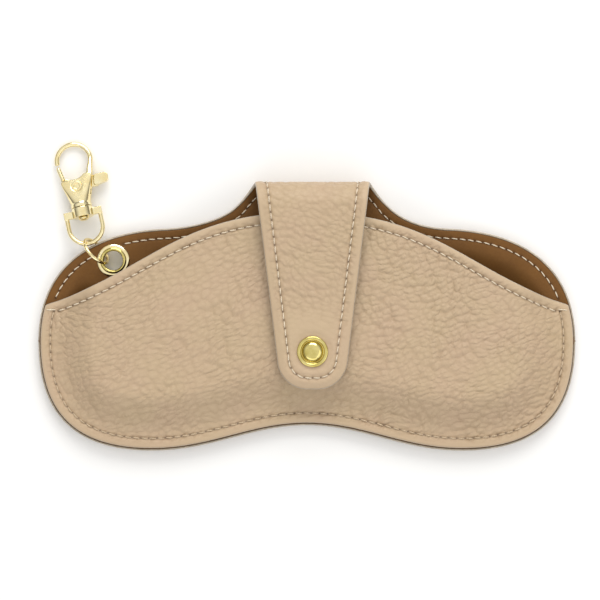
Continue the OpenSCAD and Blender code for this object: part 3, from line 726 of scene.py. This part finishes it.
low, top = back_outline(COLUMNS)
side_edges = [joined(low, bezier(SHOULDER)), bezier(SHOULDER) * [-1, 1]]
for s in (1, -1):
    side_edges.append(joined(bezier(SHOULDER), bezier(neck(s)), tongue(s, FOLD_Y, PATTERN_TOP)) * [s, 1])
back_skin = leather_sheet(
    "back_leather_skin", (low, top), side_edges, skin_point, [SEAM_LINE] + RIM_LINES, rows=(150, 40),
    grain=panel_grain, cut=KEEP_BELOW, holes=EYELET_HOLE,
)
back_liner = lining_sheet(
    "back_lining_skin", back_outline(170), side_edges, skin_point, RIM_LINES, rows=(40, 110),
    cut=KEEP_BELOW, holes=EYELET_HOLE,
)

low, top = front_outline(COLUMNS)
front_edges = [low, top]
front_skin = leather_sheet(
    "front_leather_skin", (low, top), front_edges, front_point, [SEAM_LINE, MOUTH_LINE], rows=(150, 10),
    grain=panel_grain,
)
front_liner = lining_sheet(
    "front_lining_skin", front_outline(120), front_edges, front_point, [MOUTH_LINE], rows=(8, 60)
)

low, top = flap_outline(FLAP_COLUMNS)
flap_edges = [low, top]
flap_skin = leather_sheet(
    "flap_leather_skin", (low, top), flap_edges, skin_point, [FLAP_LINE], rows=(70, 10), grain=flap_grain,
    cut=KEEP_ABOVE,
)
flap_liner = lining_sheet(
    "flap_lining_skin", flap_outline(130), flap_edges, skin_point, [FLAP_LINE], rows=(6, 34),
    cut=KEEP_ABOVE,
)

# ---- stitches ----

THREAD_R = 0.21
STITCH_LEN = 2.25
RINGS, SIDES = 13, 9
# a stitch's ends lie this far below the face, and its middle is raised by the arch
END_DIP, ARCH = 0.36, 0.42
# the depth of the grooves between the plies, their turns along a stitch, and how flat the thread is pressed
PLY_DEPTH, PLY_TURNS, PRESSED = 0.13, 3.2, 0.85
# how much the stitches differ in length, how far each lies aslant, and how much they differ in that
LEN_WOBBLE, SLANT, SLANT_WOBBLE = 0.12, 0.09, 0.05


def stitch_run(path, place, face_depth, facing, keep, first):
    """Points of the stitches along a path, and their places along and round their stitch and its number."""
    number = len(stitch_marks(path)) - 1
    middles = (np.arange(number) + 0.5) * (lengths(path)[-1] / number)
    middles = middles[np.array([keep(p) for p in at_length(path, middles)], bool)]
    t = np.linspace(0, 1, RINGS)
    wobble = LATTICE[0][np.arange(len(middles)) % LATTICE_SIZE, 7] - 0.5
    where = middles[:, None] + (t - 0.5)[None, :] * (STITCH_LEN + LEN_WOBBLE * wobble[:, None])
    flat = at_length(path, where.ravel())
    height = np.tile(-END_DIP + ARCH * np.sin(math.pi * t) ** 0.55, len(middles))
    base = place(flat[:, 0], flat[:, 1], np.full(len(flat), float(face_depth)))
    up = base - place(flat[:, 0], flat[:, 1], np.full(len(flat), float(face_depth + facing)))
    up /= np.linalg.norm(up, axis=1)[:, None]
    line = (base + up * height[:, None]).reshape(len(middles), RINGS, 3)
    up = up.reshape(len(middles), RINGS, 3)
    along = np.gradient(line, axis=1)
    along /= np.linalg.norm(along, axis=2)[..., None]
    across = np.cross(along, up)
    across /= np.linalg.norm(across, axis=2)[..., None]
    up = np.cross(across, along)
    slant = (SLANT + SLANT_WOBBLE * wobble)[:, None, None] * (t - 0.5)[None, :, None] * STITCH_LEN
    line = line + slant * across
    turn = np.arange(SIDES) / SIDES * 2 * math.pi
    radius = THREAD_R * np.maximum(np.sin(math.pi * t) ** 0.4, 0.002)
    ply = 1 + PLY_DEPTH * np.cos(2 * turn[None, :] - 2 * math.pi * PLY_TURNS * t[:, None])
    r = radius[:, None] * ply
    points = (
        line[:, :, None]
        + across[:, :, None] * (r * np.cos(turn))[None, ..., None]
        + up[:, :, None] * (r * np.sin(turn) * PRESSED)[None, ..., None]
    )
    which = np.arange(len(middles))[:, None, None] + first
    rest = np.broadcast_arrays(t[None, :, None] * STITCH_LEN, turn[None, None, :], which * 1.7)
    return points, np.stack(rest, -1)


def stitches(name, runs):
    """Single stitches. A run is (path, place, depth of the face, 1 outer or -1 inner face, which to keep)."""
    all_points, all_rest, count = [], [], 0
    for run in runs:
        points, rest = stitch_run(*run, count)
        all_points.append(points.reshape(-1, 3))
        all_rest.append(rest.reshape(-1, 3))
        count += len(points)
    points, rest = np.concatenate(all_points), np.concatenate(all_rest)
    starts = np.arange(count) * RINGS * SIDES
    quads = (grid(RINGS, SIDES, False) + starts[:, None, None]).reshape(-1, 4)
    ends = []
    for first in starts.tolist():
        ends.append(list(range(first, first + SIDES)))
        last = first + (RINGS - 1) * SIDES
        ends.append(list(range(last + SIDES - 1, last - 1, -1)))
    obj = new_object(name, points * MM, quads.tolist() + ends, 80)
    store(obj, "rest", rest)
    return obj


def always(_):
    return True


def on_panel(p):
    return p[1] < FOLD_Y and np.hypot(*(p - EYELET)) > WASHER_R + 0.9


def on_fold(p):
    return p[1] >= FOLD_Y


seam_stitches = stitches(
    "seam_stitches",
    [(SEAM_LINE, front_point, 0, 1, always), (SEAM_LINE, skin_point, 0, 1, always)],
)
mouth_stitches = stitches("mouth_stitches", [(MOUTH_LINE, front_point, 0, 1, always)])
both_faces = [(0, 1), (PANEL_T, -1)]
rim_stitches = stitches(
    "rim_stitches", [(line, skin_point, d, f, on_panel) for line in RIM_LINES for d, f in both_faces]
)
fold_stitches = stitches(
    "fold_stitches", [(line, skin_point, d, f, on_fold) for line in RIM_LINES for d, f in both_faces]
)
flap_stitches = stitches("flap_stitches", [(FLAP_LINE, skin_point, d, f, always) for d, f in both_faces])

# a bar tack is two overlapping stitches across a corner of the mouth, raised over the seam
TACK_LIFT, TACK_STEP, TACK_DROP, TACK_IN, TACK_RISE = 0.24, 1.0, 1.5, 0.1, 0.12
tack_runs = []
for s in (-1, 1):
    for k in range(2):
        y = FRONT_RIGHT[-1, 1] - TACK_DROP + TACK_RISE * k
        x = s * (FRONT_RIGHT[-1, 0] - TACK_IN - TACK_STEP * k - np.array([0, PITCH / 2, PITCH]))
        tack_runs.append((np.stack([x, np.full(3, y)], -1), front_point, -TACK_LIFT, 1, always))
bar_tacks = stitches("bar_tack_stitches", tack_runs)

# ---- turned and drawn metal ----


def rounded(points, times, closed):
    """Corners of a profile cut off again and again, so that they become curves."""
    p = np.array(points, float)
    for _ in range(times):
        nxt = np.roll(p, -1, axis=0)
        a, b = lerp(p, nxt, 0.22), lerp(p, nxt, 0.78)
        if closed:
            p = np.stack([a, b], 1).reshape(-1, p.shape[1])
        else:
            mid = np.stack([a[:-1], b[:-1]], 1).reshape(-1, p.shape[1])
            p = np.concatenate([p[:1], mid, p[-1:]])
    return p


def lathe(name, profile, centre, segments=128, times=2, closed=True):
    """Turns a rounded profile of (radius, height) about the vertical through centre."""
    profile = rounded(profile, times, closed)
    a = np.arange(segments) / segments * 2 * math.pi
    x = profile[:, 0][:, None] * np.cos(a) + centre[0]
    y = profile[:, 0][:, None] * np.sin(a) + centre[1]
    z = np.repeat(profile[:, 1][:, None], segments, 1) + centre[2]
    points = np.stack([x, y, z], -1).reshape(-1, 3)
    quads = grid(len(profile), segments, closed)[:, [0, 3, 2, 1]]
    obj = new_object(name, points * MM, quads.tolist(), 38)
    bm = bmesh.new()
    bm.from_mesh(obj.data)
    bmesh.ops.remove_doubles(bm, verts=bm.verts[:], dist=1e-7)
    bmesh.ops.recalc_face_normals(bm, faces=bm.faces[:])
    bm.to_mesh(obj.data)
    bm.free()
    return obj


def node_box(name):
    lo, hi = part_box(name)
    return np.array(lo) / MM, np.array(hi) / MM


lo, hi = node_box("snap_cap")
cap_at = np.array([*SNAP, SNAP_TOP])
cap_r = (hi[0] - lo[0]) / 2
CAP_PROFILE = [
    (0, 0.0), (cap_r - 0.25, 0.0), (cap_r, 0.12), (cap_r, 0.4), (cap_r - 0.14, 0.62),
    (cap_r - 0.4, 0.72), (cap_r - 0.95, 0.66), (cap_r - 1.2, 0.5), (cap_r - 1.32, 0.1),
    (cap_r - 1.5, -0.1), (cap_r - 1.66, 0.1), (cap_r - 1.8, 0.42), (cap_r - 2.0, 0.72),
    (cap_r - 2.3, 0.98), (cap_r - 2.8, 1.2), (cap_r - 3.5, 1.34), (0.9, 1.42), (0, 1.43),
]
snap_cap = lathe("snap_cap_dome", CAP_PROFILE, cap_at, times=3, closed=False)

lo, hi = node_box("snap_socket")
socket_at = np.array([*SNAP, lo[2]])
socket_r, socket_h = (hi[0] - lo[0]) / 2, hi[2] - lo[2]
SPRING_CAVITY = 2.6
SOCKET_PROFILE = [
    (1.36, socket_h), (socket_r - 0.25, socket_h), (socket_r, socket_h - 0.2), (socket_r, 0.55),
    (socket_r - 0.5, 0.1), (socket_r - 1.2, 0.0), (SPRING_CAVITY + 0.25, 0.0), (SPRING_CAVITY, 0.12),
    (SPRING_CAVITY, socket_h - 0.55), (1.36, socket_h - 0.5),
]
snap_socket = lathe("snap_socket_shell", SOCKET_PROFILE, socket_at, 96)

lo, hi = node_box("snap_stud")
stud_at = np.array([*SNAP, lo[2]])
stud_r, stud_h = (hi[0] - lo[0]) / 2, hi[2] - lo[2]
STUD_PROFILE = [
    (1.33, 0.0), (stud_r - 0.1, 0.0), (stud_r, 0.1), (stud_r - 0.1, 0.26), (stud_r - 0.5, 0.4),
    (2.0, 0.42), (1.62, 0.5), (1.6, stud_h - 0.75), (1.95, stud_h - 0.5), (1.93, stud_h - 0.28),
    (1.6, stud_h - 0.02), (1.4, stud_h - 0.1), (1.33, stud_h - 0.35),
]
snap_stud = lathe("snap_stud_shell", STUD_PROFILE, stud_at, 96)

eyelet_at = np.array([*EYELET, RIM_LIFT])
EYELET_PROFILE = [
    (HOLE_R, -0.35), (HOLE_R, 1.9), (HOLE_R + 0.06, 2.3), (HOLE_R + 0.32, 2.6), (HOLE_R + 0.7, 2.64),
    (HOLE_R + 1.05, 2.45), (HOLE_R + 1.25, 2.12), (HOLE_R + 1.1, 2.02), (HOLE_R + 0.4, 2.0),
    (HOLE_R + 0.4, 0.0), (WASHER_R - 0.05, 0.0), (WASHER_R, -0.12), (WASHER_R - 0.35, -0.5),
    (HOLE_R + 0.5, -0.5),
]
eyelet = lathe("eyelet_barrel", EYELET_PROFILE, eyelet_at)
WASHER_PROFILE = [
    (HOLE_R + 0.42, PANEL_T), (WASHER_R - 0.1, PANEL_T), (WASHER_R, PANEL_T + 0.1),
    (WASHER_R - 0.08, PANEL_T + 0.3), (WASHER_R - 0.5, PANEL_T + 0.5), (WASHER_R - 1.1, PANEL_T + 0.52),
    (HOLE_R + 0.42, PANEL_T + 0.5),
]
eyelet_washer = lathe("eyelet_washer_ring", WASHER_PROFILE, eyelet_at)


def tube(name, path, radius, sides=28):
    """A round wire along a closed path of points."""
    along = np.roll(path, -1, axis=0) - np.roll(path, 1, axis=0)
    along /= np.linalg.norm(along, axis=1)[:, None]
    out = path - path.mean(0)
    out -= (out * along).sum(1)[:, None] * along
    out /= np.linalg.norm(out, axis=1)[:, None]
    side = np.cross(along, out)
    a = np.arange(sides) / sides * 2 * math.pi
    outward, sideways = radius[:, None] * np.cos(a), radius[:, None] * np.sin(a)
    points = path[:, None] + out[:, None] * outward[..., None] + side[:, None] * sideways[..., None]
    return new_object(name, points.reshape(-1, 3) * MM, grid(len(path), sides).tolist(), 60)


# the wire is drawn a little thinner than the CAD's, so that it clears the bail in every pose
RING_R, RING_WIRE, RING_SLACK = 5.1, 1.1, 0.02
RING_TURN, RING_TILT = math.radians(131.7), math.radians(70)
lo, hi = node_box("link_ring")
ring_at = (lo + hi) / 2
flat_dir = np.array([math.cos(RING_TURN), math.sin(RING_TURN), 0])
axis = np.array(
    [math.sin(RING_TURN) * math.sin(RING_TILT), -math.cos(RING_TURN) * math.sin(RING_TILT), math.cos(RING_TILT)]
)
steep_dir = np.cross(axis, flat_dir)
turn = np.linspace(0, 2 * math.pi, 161)[:-1]
ring_path = ring_at + RING_R * (np.cos(turn)[:, None] * flat_dir + np.sin(turn)[:, None] * steep_dir)
# the ring's wire is cut and closed at one place, which shows as a fine groove
GAP_TURN, GAP_W, GAP_DEPTH = 4.1, 0.035, 0.16
gap = hump(turn - GAP_TURN, GAP_W)
link_ring = tube("link_ring_wire", ring_path, (RING_WIRE / 2 - RING_SLACK) * (1 - GAP_DEPTH * gap))


def cast(name, node, voxel, rounds):
    """A finely meshed copy of a CAD piece, its edges softened as by the mould and the polishing wheel."""
    mesh = NODES[node].data.copy()
    mesh.name = name
    mesh.materials.clear()
    obj = add_object(name, mesh)
    bm = bmesh.new()
    bm.from_mesh(mesh)
    bmesh.ops.remove_doubles(bm, verts=bm.verts[:], dist=1e-6)
    bm.to_mesh(mesh)
    bm.free()
    remesh = obj.modifiers.new("remesh", "REMESH")
    remesh.mode = "VOXEL"
    remesh.voxel_size = voxel * MM
    soften = obj.modifiers.new("soften", "SMOOTH")
    soften.factor = 0.5
    soften.iterations = rounds
    done = bpy.data.meshes.new_from_object(obj.evaluated_get(bpy.context.evaluated_depsgraph_get()))
    obj.modifiers.clear()
    obj.data = done
    done.name = name
    done.shade_smooth()
    return obj


hook_body = cast("hook_body_cast", "hook_body", 0.13, 14)
swivel_bail = cast("swivel_bail_cast", "swivel_bail", 0.12, 8)
gate_lever = cast("gate_lever_cast", "gate_lever", 0.11, 8)
gate_pin = cast("gate_pin_rivet", "gate_pin", 0.08, 3)
swivel_post = cast("swivel_post_rivet", "swivel_post", 0.08, 3)

# ---- materials ----


def srgb(r, g, b):
    """A colour given as it looks on screen, from 0 to 255."""
    values = [c / 255 for c in (r, g, b)]
    return tuple(c / 12.92 if c <= 0.04045 else ((c + 0.055) / 1.055) ** 2.4 for c in values) + (1.0,)


class Nodes:
    """A short way to write a node tree."""

    def __init__(self, name):
        self.material = bpy.data.materials.new(name)
        self.material.use_nodes = True
        self.tree = self.material.node_tree
        self.tree.nodes.clear()
        self.out = self.add("ShaderNodeOutputMaterial")
        self.bsdf = self.add("ShaderNodeBsdfPrincipled")
        self.feed(self.out.inputs["Surface"], self.bsdf.outputs[0])

    def feed(self, socket, value):
        """Gives a socket a constant, or links another node's output to it."""
        if isinstance(value, bpy.types.NodeSocket):
            self.tree.links.new(value, socket)
        else:
            socket.default_value = value

    def add(self, kind, inputs=None, **options):
        node = self.tree.nodes.new(kind)
        for key, value in options.items():
            setattr(node, key, value)
        for key, value in (inputs or {}).items():
            self.feed(node.inputs[key], value)
        return node

    def attribute(self, name):
        return self.add("ShaderNodeAttribute", attribute_name=name).outputs["Vector"]

    def split(self, vector):
        return self.add("ShaderNodeSeparateXYZ", {"Vector": vector}).outputs

    def object_place(self):
        return self.add("ShaderNodeTexCoord").outputs["Object"]

    def noise(self, vector, scale, detail=2.0, rough=0.5):
        inputs = {"Vector": vector, "Scale": scale, "Detail": detail, "Roughness": rough}
        return self.add("ShaderNodeTexNoise", inputs).outputs["Fac"]

    def voronoi(self, vector, scale):
        inputs = {"Vector": vector, "Scale": scale}
        return self.add("ShaderNodeTexVoronoi", inputs, feature="DISTANCE_TO_EDGE").outputs["Distance"]

    def ramp(self, value, low, high, to_low=0.0, to_high=1.0):
        inputs = {"Value": value, "From Min": low, "From Max": high, "To Min": to_low, "To Max": to_high}
        return self.add("ShaderNodeMapRange", inputs).outputs["Result"]

    def math(self, kind, a, b):
        return self.add("ShaderNodeMath", {0: a, 1: b}, operation=kind).outputs[0]

    def mix(self, factor, a, b):
        # these are the factor and the two colours of a mix node
        return self.add("ShaderNodeMix", {0: factor, 6: a, 7: b}, data_type="RGBA").outputs[2]

    def bump(self, height, strength, size, normal=None):
        inputs = {"Height": height, "Strength": strength, "Distance": size}
        if normal is not None:
            inputs["Normal"] = normal
        return self.add("ShaderNodeBump", inputs).outputs[0]

    def set(self, **values):
        for key, value in values.items():
            self.feed(self.bsdf.inputs[key.replace("_", " ")], value)
        return self.material


TAN, TAN_WARM, TAN_SHADE = srgb(184, 160, 127), srgb(185, 158, 129), srgb(179, 154, 124)
# the first two colours below are painted shade for the grain's creases and a painted highlight for its crests
TAN_CREASE_SHADE, TAN_CREST_HIGHLIGHT, TAN_BLOOM = srgb(156, 128, 97), srgb(206, 182, 149), srgb(201, 180, 152)
# the last colour below is painted shade for the leather's needle holes
EDGE_WORN, EDGE_PAINT, TAN_HOLE_SHADE = srgb(192, 180, 160), srgb(170, 157, 138), srgb(70, 50, 34)
BROWN, BROWN_WARM, BROWN_PALE = srgb(118, 80, 38), srgb(106, 71, 34), srgb(128, 90, 46)
# the last colour below is painted shade for the lining's needle holes
BROWN_SHADE, BROWN_HOLE_SHADE = srgb(94, 62, 30), srgb(46, 31, 20)


def leather_material():
    """Its grain, painted edge and holes are drawn where the mesh has them, with painted shade in the grain's
    creases and the needle holes and a painted highlight on the grain's crests.
    """
    m = Nodes("pebbled_leather")
    place = m.attribute("rest")
    pebble, paint, stitch_shade = m.split(m.attribute("tone"))
    patches = m.ramp(m.noise(place, 0.055, 3.0), 0.36, 0.66)
    speckle = m.noise(place, 2.4, 3.0, 0.6)
    colour = m.mix(patches, TAN, TAN_WARM)
    colour = m.mix(m.ramp(m.noise(place, 0.35, 2.0), 0.35, 0.75, 0.0, 0.35), colour, TAN_SHADE)
    # painted shade in the grain's creases and a painted highlight on its crests, from the grain's height
    colour = m.mix(m.ramp(pebble, 0.15, 0.55, 0.22, 0.0), colour, TAN_CREASE_SHADE)
    colour = m.mix(m.ramp(pebble, 0.78, 1.0, 0.0, 0.3), colour, TAN_CREST_HIGHLIGHT)
    colour = m.mix(m.ramp(speckle, 0.42, 0.72, 0.0, 0.2), colour, TAN_BLOOM)
    rub = m.math("MULTIPLY", m.ramp(m.noise(place, 1.1, 2.0), 0.4, 0.7), m.ramp(paint, 0.0, 0.5))
    colour = m.mix(paint, colour, m.mix(rub, EDGE_PAINT, EDGE_WORN))
    # painted shade in the needle holes and along the foot of the stitches
    colour = m.mix(stitch_shade, colour, TAN_HOLE_SHADE)
    pores = m.ramp(m.voronoi(place, 2.6), 0.0, 0.16)
    grain = m.bump(pores, 0.22, 0.00003)
    grain = m.bump(speckle, 0.3, 0.00005, grain)
    grain = m.bump(pebble, 1.0, 0.00035, grain)
    uneven = m.math("ADD", m.noise(place, 0.8, 3.0), m.math("MULTIPLY", paint, 0.15))
    rough = m.ramp(uneven, 0.3, 0.8, 0.46, 0.62)
    return m.set(
        Base_Color=colour, Roughness=rough, Normal=grain, Specular_IOR_Level=0.42, Sheen_Weight=0.08,
        Sheen_Roughness=0.5, Coat_Weight=0.05, Coat_Roughness=0.35,
    )


def lining_material():
    m = Nodes("smooth_lining")
    place = m.attribute("rest")
    mottle, _, stitch_shade = m.split(m.attribute("tone"))
    cloud = m.ramp(m.noise(place, 0.08, 3.0), 0.3, 0.7)
    colour = m.mix(cloud, BROWN, BROWN_WARM)
    colour = m.mix(m.ramp(m.noise(place, 1.6, 3.0, 0.6), 0.4, 0.7, 0.0, 0.35), colour, BROWN_PALE)
    colour = m.mix(m.ramp(mottle, 0.3, 0.9, 0.0, 0.15), colour, BROWN_SHADE)
    # painted shade in the needle holes
    colour = m.mix(stitch_shade, colour, BROWN_HOLE_SHADE)
    weave = m.bump(m.noise(place, 3.2, 3.0, 0.6), 0.3, 0.00005)
    rough = m.ramp(m.noise(place, 0.9, 2.0), 0.3, 0.7, 0.5, 0.66)
    return m.set(Base_Color=colour, Roughness=rough, Normal=weave, Specular_IOR_Level=0.15)


def thread_material(name, low, high, middle):
    """Twisted thread, with painted shade in the grooves between its plies."""
    m = Nodes(name)
    place = m.attribute("rest")
    along, around, _ = m.split(place)
    wound = m.math("ADD", m.math("MULTIPLY", along, 9.0), m.math("MULTIPLY", around, -2.0))
    twist = m.math("SINE", wound, 0.0)
    ply = m.ramp(twist, -1.0, 1.0)
    # painted shade between the plies, lighter on the plies themselves
    colour = m.mix(ply, low, high)
    colour = m.mix(m.ramp(m.noise(place, 1.3, 2.0), 0.35, 0.75, 0.0, 0.5), colour, middle)
    fibres = m.bump(m.noise(place, 9.0, 2.0), 0.4, 0.00004, m.bump(ply, 0.5, 0.00006))
    return m.set(
        Base_Color=colour, Roughness=0.62, Normal=fibres, Specular_IOR_Level=0.3, Sheen_Weight=0.25,
        Sheen_Roughness=0.4,
    )


def metal_material(name, light, deep, rough_low, rough_high):
    """Cloudy metal with fine scuffs."""
    m = Nodes(name)
    place = m.object_place()
    cloud = m.ramp(m.noise(place, 260.0, 3.0), 0.35, 0.7)
    colour = m.mix(cloud, light, deep)
    fine = m.math("MULTIPLY", m.noise(place, 2600.0, 2.0, 0.6), 0.5)
    coarse = m.math("MULTIPLY", m.noise(place, 700.0, 2.0), 0.5)
    rough = m.ramp(m.math("ADD", fine, coarse), 0.35, 0.65, rough_low, rough_high)
    waves = m.bump(m.noise(place, 900.0, 1.0), 0.06, 0.0001)
    return m.set(Base_Color=colour, Metallic=1.0, Roughness=rough, Normal=waves)


leather = leather_material()
lining = lining_material()
# each thread's colours: painted shade between the plies, the plies' own colour, and a second tone laid by noise
CREAM = (srgb(208, 190, 162), srgb(238, 226, 204), srgb(224, 208, 182))
# the seam's thread is a darker copy of the cream thread: painted shade standing in for stitches sunk deep in
# the seam
CREAM_SHADED = (srgb(186, 164, 134), srgb(214, 194, 164), srgb(202, 181, 151))
thread = thread_material("waxed_thread", *CREAM)
seam_thread_shaded = thread_material("seam_thread_painted_shade", *CREAM_SHADED)
gold = metal_material("polished_gold", srgb(252, 239, 194), srgb(245, 224, 164), 0.08, 0.18)
brass = metal_material("snap_gold", srgb(226, 210, 138), srgb(198, 180, 100), 0.07, 0.16)
steel = metal_material("pressed_steel", srgb(214, 212, 208), srgb(196, 194, 192), 0.16, 0.3)


def dress(obj, material, slot, body, *nodes):
    """Says what a piece is made of and which body it follows, and hides the nodes it replaces; a piece given a
    fold stays where it lies.
    """
    obj.data.materials.clear()
    obj.data.materials.append(material)
    if isinstance(body, str):
        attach(obj, body)
    else:
        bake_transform(obj)
    if nodes:
        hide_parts(*nodes)


# the middle of the panel's thickness where the fold begins, half way round it and where it ends
BEGIN = (0, FOLD_Y * MM, (RIM_LIFT + PANEL_T / 2) * MM)
HALF_WAY = (0, (FOLD_Y + FOLD_MID) * MM, FOLD_Z * MM)
END = (0, FOLD_Y * MM, (FLAP_TOP - PANEL_T / 2) * MM)
FOLD_LOW = (("case", "fold"), BEGIN, HALF_WAY)
FOLD_HIGH = (("fold", "flap"), HALF_WAY, END)

dress(back_skin, leather, "leather", FOLD_LOW, "back_leather", "fold_leather")
dress(back_liner, lining, "lining", FOLD_LOW, "back_lining", "fold_lining")
dress(flap_skin, leather, "leather", FOLD_HIGH, "flap_leather")
dress(flap_liner, lining, "lining", FOLD_HIGH, "flap_lining")
dress(front_skin, leather, "leather", "case", "front_leather")
dress(front_liner, lining, "lining", "case", "front_lining")
dress(seam_stitches, seam_thread_shaded, "thread", "case", "seam_thread")
dress(mouth_stitches, thread, "thread", "case", "mouth_thread")
dress(rim_stitches, thread, "thread", "case", "rim_thread")
dress(bar_tacks, thread, "thread", "case", "bar_tacks")
dress(fold_stitches, thread, "thread", FOLD_LOW, "fold_thread")
dress(flap_stitches, thread, "thread", FOLD_HIGH, "flap_thread")
dress(snap_cap, brass, "gold", "flap", "snap_cap")
dress(snap_socket, steel, "steel", "flap", "snap_socket")
dress(snap_stud, steel, "steel", "case", "snap_stud")
dress(eyelet, brass, "gold", "case", "eyelet")
dress(eyelet_washer, gold, "gold", "case", "eyelet_washer")
dress(link_ring, gold, "gold", "ring", "link_ring")
dress(swivel_bail, gold, "gold", "bail", "swivel_bail")
dress(swivel_post, gold, "gold", "hook", "swivel_post")
dress(hook_body, gold, "gold", "hook", "hook_body")
dress(gate_pin, gold, "gold", "hook", "gate_pin")
dress(gate_lever, gold, "gold", "gate", "gate_lever")
for name in ("snap_spring", "snap_post", "gate_spring"):
    NODES[name].data.materials.clear()
    NODES[name].data.materials.append(steel)

# ---- the sheets' flat cuts ----


def cut_outline(curves, v_from=-math.inf, v_to=math.inf):
    """A cut piece's outline, ended at the middle of the fold."""
    outline = np.concatenate([curves[0], curves[1][::-1]])
    outline[:, 1] = np.clip(outline[:, 1], v_from, v_to)
    return outline


area, size = flat_area(cut_outline(back_outline(COLUMNS), v_to=HALF_FOLD))
area, size = flat_area(cut_outline(front_outline(COLUMNS)))
area, size = flat_area(cut_outline(flap_outline(FLAP_COLUMNS), v_from=HALF_FOLD))

# ---- floor and light ----

# in metres; the floor lies a hair under the case, so that no two faces share a place
FLOOR_HALF, FLOOR_Z = 3.0, -1e-5
corners = [(x * FLOOR_HALF, y * FLOOR_HALF, FLOOR_Z) for x, y in ((-1, -1), (1, -1), (1, 1), (-1, 1))]
floor = new_object("floor", corners, [(0, 1, 2, 3)])
paper = Nodes("pale_floor")
floor.data.materials.append(paper.set(Base_Color=srgb(248, 247, 245), Roughness=0.9, Specular_IOR_Level=0.1))


def area_light(name, place, size, power, colour):
    """A light that points at the middle of the case."""
    data = bpy.data.lights.new(name, "AREA")
    data.shape = "RECTANGLE"
    data.size, data.size_y = size
    data.energy = power
    data.color = colour
    obj = add_object(name, data)
    obj.location = place
    obj.rotation_euler = (-Vector(place)).to_track_quat("-Z", "Y").to_euler()


area_light("key", (0.1, 1.15, 0.82), (1.0, 0.9), 12.6, (1.0, 0.99, 0.975))
area_light("fill", (0.8, -0.35, 0.75), (0.9, 0.9), 1.6, (0.98, 0.99, 1.0))
area_light("front", (-0.1, -0.9, 0.8), (1.4, 0.6), 2.4, (1.0, 1.0, 1.0))


def studio_world():
    """White light from all round, stronger from above."""
    world = bpy.data.worlds.new("studio")
    bpy.context.scene.world = world
    world.use_nodes = True
    tree = world.node_tree
    background = tree.nodes["Background"]
    direction = tree.nodes.new("ShaderNodeTexCoord")
    parts = tree.nodes.new("ShaderNodeSeparateXYZ")
    height = tree.nodes.new("ShaderNodeMapRange")
    tree.links.new(direction.outputs["Generated"], parts.inputs[0])
    tree.links.new(parts.outputs[2], height.inputs["Value"])
    for key, value in (("From Min", 0.2), ("From Max", 0.85), ("To Min", 0.22), ("To Max", 0.94)):
        height.inputs[key].default_value = value
    tree.links.new(height.outputs["Result"], background.inputs["Strength"])
    background.inputs["Color"].default_value = (1, 1, 1, 1)


studio_world()
bpy.context.scene.view_settings.view_transform = "Standard"
